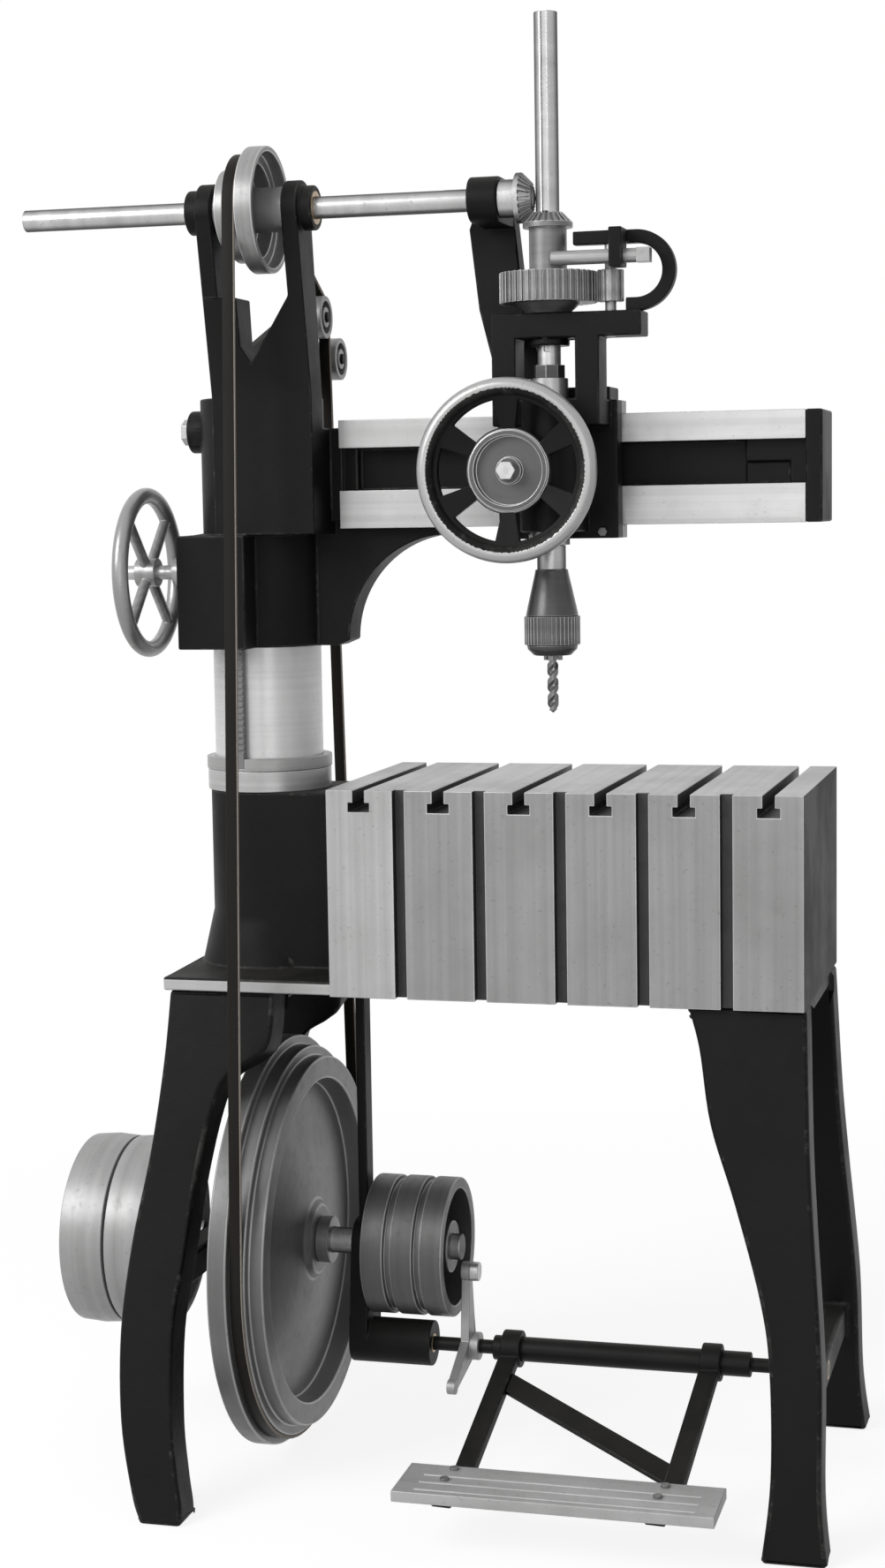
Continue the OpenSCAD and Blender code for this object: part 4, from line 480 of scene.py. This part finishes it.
def smooth(piece):
    """Smooth shading that leaves the large faces flat."""
    only(piece)
    bpy.ops.object.shade_smooth_by_angle(angle=SMOOTH_BELOW, keep_sharp_edges=False)
    even = piece.modifiers.new("even", "WEIGHTED_NORMAL")
    even.keep_sharp = True
    bpy.ops.object.modifier_apply(modifier=even.name)


def settle(piece, body, slot, *stands_for):
    """Gives a piece its body and hides the CAD nodes that it stands for; slot is not used."""
    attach(piece, body)
    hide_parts(*stands_for)


def soften(name, width, material, edge_material=None, shortest=0.0):
    """A copy of a CAD node with its sharp edges rounded by width; edges under shortest stay sharp.

    Both are in millimetres. The rounded edges take edge_material where one is given.
    """
    source = nodes[name]
    piece = bpy.data.objects.new(name + "_dressed", source.data.copy())
    bpy.context.scene.collection.objects.link(piece)
    piece.data.materials.clear()
    piece.data.materials.append(material)
    if edge_material:
        piece.data.materials.append(edge_material)
    only(piece)
    bpy.ops.object.mode_set(mode="EDIT")
    bpy.ops.mesh.select_mode(type="EDGE")
    bpy.ops.mesh.select_all(action="SELECT")
    bpy.ops.mesh.remove_doubles(threshold=WELD)
    bpy.ops.mesh.select_all(action="DESELECT")
    mesh = bmesh.from_edit_mesh(piece.data)
    found = False
    for face in mesh.faces:
        face.material_index = 0
    for edge in mesh.edges:
        if len(edge.link_faces) == 2 and edge.calc_face_angle() > SHARP_FROM:
            if edge.calc_length() >= shortest * MM:
                edge.select = True
                found = True
    bmesh.update_edit_mesh(piece.data)
    if found:
        bpy.ops.mesh.bevel(offset=width * MM, segments=ROUND_STEPS, profile=0.5, clamp_overlap=False,
                           loop_slide=False, material=1 if edge_material else -1)
    bpy.ops.object.mode_set(mode="OBJECT")
    smooth(piece)
    settle(piece, BODY[name], SLOT[name], name)
    return piece


def paint(piece, material, chosen):
    """Gives another finish to the faces that chosen(middle, normal) picks."""
    piece.data.materials.append(material)
    index = len(piece.data.materials) - 1
    for face in piece.data.polygons:
        if chosen(face.center, face.normal):
            face.material_index = index


# The belt: lengths in metres, pulley middles as (y, z)

BELT_MIDDLE = -0.264
BELT_WIDTH = 0.014
BELT_THICK = 0.004
BELT_CORNER = 0.0011
BELT_CORNER_STEPS = 3
BELT_GAP = 0.0003
BELT_STEP = 0.02
BELT_TURN_STEP = math.radians(4.0)
BELT_TURN_LEAST = 6
BELT_WELD = 0.0002
BELT_SMOOTH_BELOW = math.radians(40)
BELT_CUT = 1.02
BELT_EDGE_FROM = 0.25
WHEEL_MIDDLE, WHEEL_R = Vector(DRIVE_LINE[1][1:]), 0.226
CONE_MIDDLE, CONE_R = Vector(HEAD_LINE[1][1:]), 0.056
IDLER_MIDDLE, IDLER_R = Vector(FRONT_IDLER_LINE[1][1:]), 0.025


def tangent_angle(first, first_r, second, second_r, side):
    """Direction from both middles to the line that touches two pulleys on one side."""
    way = first - second
    return math.atan2(way.y, way.x) + side * math.acos((second_r - first_r) / way.length)


def belt_round(middle, angle):
    """Carries the belt's section round a pulley."""
    steps = max(BELT_TURN_LEAST, int(abs(angle) / BELT_TURN_STEP))
    bpy.ops.mesh.spin(steps=steps, angle=-angle, center=(BELT_MIDDLE, middle.x, middle.y), axis=(1, 0, 0))


def belt_straight(first, first_r, second, second_r, angle):
    """Draws the belt's section out from one pulley to the next."""
    out = Vector((math.cos(angle), math.sin(angle)))
    way = second + out * second_r - first - out * first_r
    steps = int(way.length / BELT_STEP) + 1
    for _ in range(steps):
        bpy.ops.mesh.extrude_region_move(TRANSFORM_OT_translate={
            "value": (0.0, way.x / steps, way.y / steps)})


def sweep_belt(name):
    """The endless belt: its section drawn at the top cone, then spun and drawn out round the loop."""
    wheel_r, cone_r, idler_r = (r + BELT_GAP for r in (WHEEL_R, CONE_R, IDLER_R))
    back = tangent_angle(IDLER_MIDDLE, idler_r, WHEEL_MIDDLE, wheel_r, -1)
    front = tangent_angle(CONE_MIDDLE, cone_r, WHEEL_MIDDLE, wheel_r, 1)
    top = tangent_angle(CONE_MIDDLE, cone_r, IDLER_MIDDLE, idler_r, -1)
    bpy.ops.object.select_all(action="DESELECT")
    bpy.ops.mesh.primitive_plane_add(size=1.0)
    piece = bpy.context.object
    piece.name = name
    piece.data.materials.clear()
    piece.data.materials.append(LEATHER)
    bpy.ops.object.mode_set(mode="EDIT")
    bpy.ops.transform.resize(value=(BELT_WIDTH, BELT_THICK, 1.0))
    bpy.ops.mesh.bevel(offset=BELT_CORNER, segments=BELT_CORNER_STEPS, affect="VERTICES")
    bpy.ops.mesh.select_all(action="SELECT")
    bpy.ops.mesh.delete(type="ONLY_FACE")
    bpy.ops.object.mode_set(mode="OBJECT")
    start = CONE_MIDDLE + Vector((math.cos(front), math.sin(front))) * (cone_r + BELT_THICK / 2)
    piece.rotation_euler = (front, 0.0, 0.0)
    piece.location = (BELT_MIDDLE, start.x, start.y)
    bpy.ops.object.transform_apply(location=True, rotation=True, scale=True)
    bpy.ops.object.mode_set(mode="EDIT")
    bpy.ops.mesh.select_mode(type="EDGE")
    bpy.ops.mesh.select_all(action="SELECT")
    belt_round(CONE_MIDDLE, top - front)
    belt_straight(CONE_MIDDLE, cone_r, IDLER_MIDDLE, idler_r, top)
    belt_round(IDLER_MIDDLE, back - top)
    belt_straight(IDLER_MIDDLE, idler_r, WHEEL_MIDDLE, wheel_r, back)
    belt_round(WHEEL_MIDDLE, front - 2 * math.pi - back)
    belt_straight(WHEEL_MIDDLE, wheel_r, CONE_MIDDLE, cone_r, front)
    bpy.ops.mesh.select_all(action="SELECT")
    bpy.ops.mesh.remove_doubles(threshold=BELT_WELD)
    bpy.ops.mesh.normals_make_consistent(inside=False)
    bpy.ops.object.mode_set(mode="OBJECT")
    return piece


def cut_belt(piece, upper):
    """Keeps the part of the loop above or below the cut, and closes its ends."""
    only(piece)
    bpy.ops.object.mode_set(mode="EDIT")
    bpy.ops.mesh.select_all(action="SELECT")
    bpy.ops.mesh.bisect(plane_co=(0, 0, BELT_CUT), plane_no=(0, 0, 1), use_fill=True,
                        clear_inner=upper, clear_outer=not upper)
    bpy.ops.object.mode_set(mode="OBJECT")
    bpy.ops.object.shade_smooth_by_angle(angle=BELT_SMOOTH_BELOW)


def make_belt():
    """Two lengths of belt: the loop cut in two at one height, the lower and the upper."""
    lower = sweep_belt("belt_lower")
    upper = bpy.data.objects.new("belt_upper", lower.data.copy())
    bpy.context.scene.collection.objects.link(upper)
    cut_belt(lower, False)
    cut_belt(upper, True)
    for piece in (lower, upper):
        # The pale cut edge of the leather, painted only on the side facing +X, where it is also a painted
        # highlight
        paint(piece, LEATHER_EDGE_AND_HIGHLIGHT, lambda middle, normal: normal.x > BELT_EDGE_FROM)
    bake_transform(lower)
    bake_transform(upper)
    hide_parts("drive_belt")


# The twist drill: lengths in metres

DRILL_R = 0.006
DRILL_SIDES = 40
DRILL_STEP = 0.002
DRILL_POINT = 0.0035
DRILL_TIP_SHARE = 0.06
DRILL_TURN_LENGTH = 0.034
DRILL_SMOOTH_BELOW = math.radians(38)
FLUTE_DEEP = 0.0036
FLUTE_HALF = math.radians(52)
FLUTE_ROUND = 0.7
LEVEL_NEAR = 0.00006


def make_twist_drill():
    """Two spiral flutes in a round bar, drawn up from its point."""
    low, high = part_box("twist_drill")
    length = high[2] - low[2] - DRILL_POINT
    steps = int(length / DRILL_STEP)
    bpy.ops.object.select_all(action="DESELECT")
    bpy.ops.mesh.primitive_circle_add(vertices=DRILL_SIDES, radius=DRILL_R, fill_type="NGON")
    piece = bpy.context.object
    piece.name = "fluted_drill"
    piece.data.materials.append(DRILL_STEEL)
    bpy.ops.object.mode_set(mode="EDIT")
    mesh = bmesh.from_edit_mesh(piece.data)
    for vert in mesh.verts:
        angle = math.atan2(vert.co.y, vert.co.x)
        off = min(abs(angle), math.pi - abs(angle))
        if off < FLUTE_HALF:
            vert.co *= 1 - FLUTE_DEEP / DRILL_R * math.cos(off / FLUTE_HALF * math.pi / 2) ** FLUTE_ROUND
    bmesh.update_edit_mesh(piece.data)
    bpy.ops.mesh.select_mode(type="FACE")
    bpy.ops.mesh.select_all(action="SELECT")
    bpy.ops.mesh.extrude_region_move(TRANSFORM_OT_translate={"value": (0, 0, -DRILL_POINT)})
    bpy.ops.transform.resize(value=(DRILL_TIP_SHARE, DRILL_TIP_SHARE, 1.0))
    bpy.ops.mesh.select_all(action="DESELECT")
    bpy.ops.mesh.select_mode(type="EDGE")
    mesh = bmesh.from_edit_mesh(piece.data)
    for edge in mesh.edges:
        edge.select = all(abs(v.co.z) < LEVEL_NEAR for v in edge.verts)
    bmesh.update_edit_mesh(piece.data)
    for _ in range(steps):
        bpy.ops.mesh.extrude_region_move(TRANSFORM_OT_translate={"value": (0, 0, length / steps)})
    bpy.ops.mesh.edge_face_add()
    bpy.ops.mesh.select_all(action="SELECT")
    bpy.ops.mesh.normals_make_consistent(inside=False)
    bpy.ops.object.mode_set(mode="OBJECT")
    twist = piece.modifiers.new("twist", "SIMPLE_DEFORM")
    twist.deform_method = "TWIST"
    twist.deform_axis = "Z"
    twist.angle = math.tau * (length + DRILL_POINT) / DRILL_TURN_LENGTH
    bpy.ops.object.modifier_apply(modifier=twist.name)
    piece.location = ((low[0] + high[0]) / 2, (low[1] + high[1]) / 2, low[2] + DRILL_POINT)
    bpy.ops.object.transform_apply(location=True, rotation=True, scale=True)
    bpy.ops.object.shade_smooth_by_angle(angle=DRILL_SMOOTH_BELOW)
    settle(piece, BODY["twist_drill"], SLOT["twist_drill"], "twist_drill")


# Pieces with more than one finish: the faces are found by place, in metres, and by normal

FLANGE_FRONT, FLANGE_TOP = -0.145, 0.584
FLANGE_FORWARD = -0.3
FACE_NEAR = 0.0004
FACE_CLEAR = 0.0012
SLOT_DEEP = 0.0125
T_SLOT_FOOT = 0.0245
LEFT_PANEL_TO = -0.105
FEED_RING_R, FEED_WEB_R, FEED_RIM_R = 0.0445, 0.079, 0.0855
FEED_RIM_SHADE_FROM = 0.2


def dress_base():
    """The column's base, with a painted highlight of pale planed iron on the front of its flange."""
    base = soften("column_base", 2.5, JAPAN, JAPAN_EDGE_AND_SHADE, shortest=2.0)
    # Painted highlight: the front-facing faces of the flange are painted pale
    paint(base, FLANGE_PAINTED_HIGHLIGHT, lambda middle, normal: (
        middle.y < FLANGE_FRONT and normal.y < FLANGE_FORWARD and middle.z < FLANGE_TOP))


def dress_table():
    """The box table: dull sides, back and underside, planed front and top, slots painted dark as painted
    shade.

    The left panel of the front and the top are painted lighter than the rest of the front, as painted
    light. The top comes last, because the slots' rule also picks some of its faces along the front edge.
    """
    table = soften("box_table", 0.9, TABLE_FACE, TABLE_EDGE)
    low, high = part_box("box_table")
    paint(table, JAPAN_FLAT, lambda middle, normal: (
        middle.x < low[0] + FACE_NEAR or middle.x > high[0] - FACE_NEAR
        or middle.y > high[1] - FACE_NEAR or middle.z < low[2] + FACE_NEAR))
    # Painted light: the left panel of the front is painted lighter
    paint(table, TABLE_PANEL_PAINTED_LIGHT, lambda middle, normal: (
        middle.y < low[1] + FACE_NEAR and middle.x < LEFT_PANEL_TO))
    # Painted shade: the walls of the slots are painted almost black
    paint(table, SLOT_PAINTED_SHADE, lambda middle, normal: (
        low[1] + FACE_CLEAR < middle.y < low[1] + SLOT_DEEP
        or high[2] - T_SLOT_FOOT < middle.z < high[2] - FACE_CLEAR
        and abs(middle.y) < high[1] - FACE_CLEAR))
    # Painted light: the top is painted lighter than the front
    paint(table, TABLE_TOP_PAINTED_LIGHT, lambda middle, normal: middle.z > high[2] - FACE_NEAR)


def feed_reach(place):
    """Distance from the feed wheel's turning line."""
    middle = Vector(FEED_LINE[1])
    return math.hypot(place.x - middle.x, place.z - middle.z)


def dress_feed_wheel():
    """The feed wheel: oily hub, black web, bright rim, with painted shade in black inside the rim and on
    its back.
    """
    wheel = soften("feed_wheel", 1.0, FEED_IRON, FEED_EDGE)
    paint(wheel, JAPAN, lambda middle, normal: FEED_RING_R < feed_reach(middle) < FEED_WEB_R)
    # Painted shade: the inside of the rim, and the back of the rim that the next rule leaves, are painted
    # black
    paint(wheel, JAPAN_EDGE_AND_SHADE, lambda middle, normal: feed_reach(middle) >= FEED_WEB_R)
    paint(wheel, FEED_RIM, lambda middle, normal: (
        feed_reach(middle) > FEED_RIM_R and normal.y < FEED_RIM_SHADE_FROM))


# Finishes: a metal's three numbers are its tone, shine and roughness

# Scales of planing marks, which run along the axis with the small number
STROKE_X, STROKE_Y, STROKE_Z = (9.0, 900.0, 900.0), (900.0, 9.0, 900.0), (900.0, 900.0, 9.0)
SLOT_STROKE = (300.0, 9.0, 300.0)
TREAD_STROKE = (14.0, 500.0, 500.0)
ROD_STROKE = (14.0, 700.0, 700.0)


def make_shafting(name, line):
    """Bright turned steel with painted shade where it turns away from the eye."""
    return make_metal(name, 0.56, 0.45, 0.32, line=line, lines=350.0, depth=0.00005, painted_turn_shade=0.9)


JAPAN = make_japan("black_japan")
# Rubbed japan for the worn edges of castings; the feed wheel also uses it as painted shade in and behind
# its rim
JAPAN_EDGE_AND_SHADE = make_japan("rubbed_japan_and_painted_shade", rub=0.45, gloss=0.44)
JAPAN_FLAT = make_japan("dull_japan", tone=0.007, gloss=0.52)
SLOT_PAINTED_SHADE = make_metal("slot_painted_shade", 0.035, 0.2, 0.5, stretch=SLOT_STROKE)
TABLE_FACE = make_metal("planed_table", 0.34, 0.22, 0.44, stretch=STROKE_Z)
TABLE_PANEL_PAINTED_LIGHT = make_metal("panel_painted_light", 0.50, 0.22, 0.44, stretch=STROKE_Z)
TABLE_TOP_PAINTED_LIGHT = make_metal("planed_top_painted_light", 0.50, 0.25, 0.42, stretch=STROKE_Y)
FLANGE_PAINTED_HIGHLIGHT = make_metal("planed_flange_painted_highlight", 0.52, 0.35, 0.40, stretch=STROKE_X)
TABLE_EDGE = make_metal("table_edge", 0.62, 0.45, 0.36, stretch=STROKE_Z)
WAY_FACE = make_metal("scraped_way", 0.56, 0.45, 0.34, stretch=STROKE_X)
POST_FACE = make_metal("turned_post", 0.66, 0.35, 0.32, line=COLUMN_LINE, lines=1500.0, dirt=0.18,
                       depth=0.00006, bands=0.3)
RIM_FACE = make_metal("turned_rim", 0.52, 0.35, 0.36, line=COLUMN_LINE)
RING_FACE = make_metal("turned_ring", 0.40, 0.35, 0.40, line=COLUMN_LINE)
DRIVE_STEEL = make_shafting("drive_steel", DRIVE_LINE)
PULLEY_IRON = make_metal("pulley_iron", 0.42, 0.25, 0.42, line=DRIVE_LINE, lines=600.0)
WHEEL_IRON = make_metal("cone_wheel_iron", 0.17, 0.25, 0.42, line=DRIVE_LINE, lines=420.0)
WHEEL_EDGE = make_metal("cone_wheel_edge", 0.36, 0.40, 0.38, line=DRIVE_LINE)
DRUM_IRON = make_metal("drum_iron", 0.10, 0.25, 0.44, line=DRIVE_LINE)
DRUM_EDGE = make_metal("drum_edge", 0.32, 0.40, 0.40, line=DRIVE_LINE)
COLLAR_STEEL = make_metal("collar_steel", 0.25, 0.45, 0.38, line=DRIVE_LINE)
CROSS_STEEL = make_shafting("cross_steel", HEAD_LINE)
CONE_IRON = make_metal("top_cone_iron", 0.36, 0.35, 0.38, line=HEAD_LINE)
CONE_EDGE = make_metal("top_cone_edge", 0.60, 0.5, 0.34, line=HEAD_LINE)
FRONT_IDLER_IRON = make_metal("front_idler_iron", 0.34, 0.35, 0.40, line=FRONT_IDLER_LINE)
BACK_IDLER_IRON = make_metal("back_idler_iron", 0.34, 0.35, 0.40, line=BACK_IDLER_LINE)
ELEVATING_IRON = make_metal("elevating_iron", 0.34, 0.45, 0.34, line=ELEVATING_LINE)
ELEVATING_STEEL = make_metal("elevating_steel", 0.56, 0.6, 0.30, line=ELEVATING_LINE)
SPINDLE_STEEL = make_shafting("spindle_steel", SPINDLE_LINE)
GEAR_IRON = make_metal("gear_iron", 0.20, 0.35, 0.42, line=SPINDLE_LINE)
GEAR_EDGE = make_metal("gear_edge", 0.50, 0.50, 0.36, line=SPINDLE_LINE)
CHUCK_STEEL = make_metal("chuck_steel", 0.07, 0.45, 0.36, line=SPINDLE_LINE)
CHUCK_EDGE = make_metal("chuck_edge", 0.26, 0.55, 0.34, line=SPINDLE_LINE)
DRILL_STEEL = make_metal("drill_steel", 0.20, 0.65, 0.30, line=SPINDLE_LINE)
SIDE_IRON = make_metal("side_iron", 0.34, 0.40, 0.40, line=SIDE_LINE)
FEED_IRON = make_metal("feed_iron", 0.10, 0.30, 0.42, line=FEED_LINE)
FEED_RIM = make_metal("feed_rim", 0.46, 0.45, 0.34, line=FEED_LINE, lines=500.0)
FEED_EDGE = make_metal("feed_edge", 0.50, 0.50, 0.34, line=FEED_LINE)
FEED_STEEL = make_metal("feed_steel", 0.55, 0.6, 0.30, line=FEED_LINE)
BAR_JAPAN = make_japan("bar_japan", tone=0.008, gloss=0.34)
TREAD_IRON = make_metal("worn_tread", 0.50, 0.25, 0.46, stretch=TREAD_STROKE, dirt=0.45)
LEVER_IRON = make_metal("lever_iron", 0.36, 0.35, 0.42)
KNOB_STEEL = make_metal("knob_steel", 0.52, 0.55, 0.32)
ROD_STEEL = make_metal("rod_steel", 0.42, 0.45, 0.36, stretch=ROD_STROKE, depth=0.00004)
BOLT_STEEL = make_metal("bolt_steel", 0.20, 0.45, 0.42)
SCREW_STEEL = make_metal("screw_steel", 0.48, 0.5, 0.36)
RACK_STEEL = make_metal("rack_steel", 0.22, 0.45, 0.42)
BRONZE = make_metal("bush_bronze", 0.34, 0.6, 0.36, warm=0.36)
LEATHER = make_leather("belt_leather", 0.005, 0.018)
LEATHER_EDGE_AND_HIGHLIGHT = make_leather("pale_leather_edge_and_painted_highlight", 0.30, 0.46)

add_camera()
add_studio()

# Castings: node, rounding of its edges in millimetres, finish, finish of the edges
soften("left_legs", 5.0, JAPAN, JAPAN_EDGE_AND_SHADE, shortest=2.5)
soften("right_legs", 5.0, JAPAN, JAPAN_EDGE_AND_SHADE, shortest=2.5)
dress_base()
soften("shaft_hanger", 1.5, JAPAN, JAPAN_EDGE_AND_SHADE)
soften("arm_sleeve", 2.0, JAPAN, JAPAN_EDGE_AND_SHADE, shortest=2.2)
soften("radial_arm", 2.5, JAPAN, JAPAN_EDGE_AND_SHADE)
soften("idler_bracket", 1.2, JAPAN, JAPAN_EDGE_AND_SHADE)
soften("head_casting", 2.0, JAPAN, JAPAN_EDGE_AND_SHADE, shortest=2.2)
soften("loop_bracket", 1.5, JAPAN, JAPAN_EDGE_AND_SHADE)
soften("treadle_struts", 1.6, JAPAN, JAPAN_EDGE_AND_SHADE, shortest=1.5)
soften("treadle_brace", 1.0, JAPAN, JAPAN_EDGE_AND_SHADE)
soften("rocking_bar", 1.2, BAR_JAPAN)

# Table, ways and tread plate
dress_table()
soften("upper_way", 0.8, WAY_FACE, TABLE_EDGE)
soften("lower_way", 0.8, WAY_FACE, TABLE_EDGE)
soften("tread_plate", 1.0, TREAD_IRON, shortest=1.5)

# Turned work
soften("column_post", 1.0, POST_FACE)
soften("base_rim", 1.2, RIM_FACE)
soften("swing_ring", 0.8, RING_FACE)
soften("drive_shaft", 1.2, DRIVE_STEEL)
soften("fast_pulley", 1.2, PULLEY_IRON)
soften("loose_pulley", 1.2, PULLEY_IRON)
soften("cone_wheel", 2.0, WHEEL_IRON, WHEEL_EDGE)
soften("clutch_drum", 1.5, DRUM_IRON, DRUM_EDGE)
soften("set_collars", 0.8, COLLAR_STEEL)
soften("cross_shaft", 0.8, CROSS_STEEL)
soften("top_cone", 1.2, CONE_IRON, CONE_EDGE)
soften("front_idler", 1.0, FRONT_IDLER_IRON)
soften("back_idler", 1.0, BACK_IDLER_IRON)
soften("elevating_shaft", 0.8, ELEVATING_STEEL)
soften("elevating_wheel", 0.8, ELEVATING_IRON)
soften("elevating_pinion", 0.3, ELEVATING_IRON)
soften("spindle", 0.6, SPINDLE_STEEL)
soften("quill", 0.5, SPINDLE_STEEL)
soften("quill_nut", 0.6, CHUCK_STEEL, CHUCK_EDGE)
soften("chuck_body", 0.8, CHUCK_STEEL, CHUCK_EDGE)
soften("chuck_collar", 0.5, CHUCK_STEEL, CHUCK_EDGE)
soften("chuck_jaws", 0.4, CHUCK_EDGE)
soften("bevel_gear", 0.4, GEAR_IRON, GEAR_EDGE)
soften("disc_gear", 0.5, GEAR_IRON, GEAR_EDGE)
soften("bevel_pinion", 0.4, CROSS_STEEL)
soften("side_pinion", 0.4, SIDE_IRON)
soften("feed_shaft", 0.4, FEED_STEEL)
dress_feed_wheel()
soften("feed_nut", 0.6, FEED_STEEL)

# Small pieces
soften("keeper_strips", 0.8, RACK_STEEL)
soften("stop_rod", 0.4, ROD_STEEL, shortest=2.5)
soften("clutch_lever", 0.9, LEVER_IRON)
soften("lever_knob", 0.8, KNOB_STEEL)
soften("stand_bolts", 0.6, BOLT_STEEL)
soften("tread_bolts", 0.5, BOLT_STEEL)
soften("sleeve_screws", 0.7, SCREW_STEEL)
soften("head_screws", 0.4, BOLT_STEEL)
soften("elevating_rack", 0.25, RACK_STEEL)
soften("shaft_bushes", 0.4, BRONZE)
soften("fork_bushes", 0.4, BRONZE)

# Pieces with shapes of their own
make_twist_drill()
make_belt()
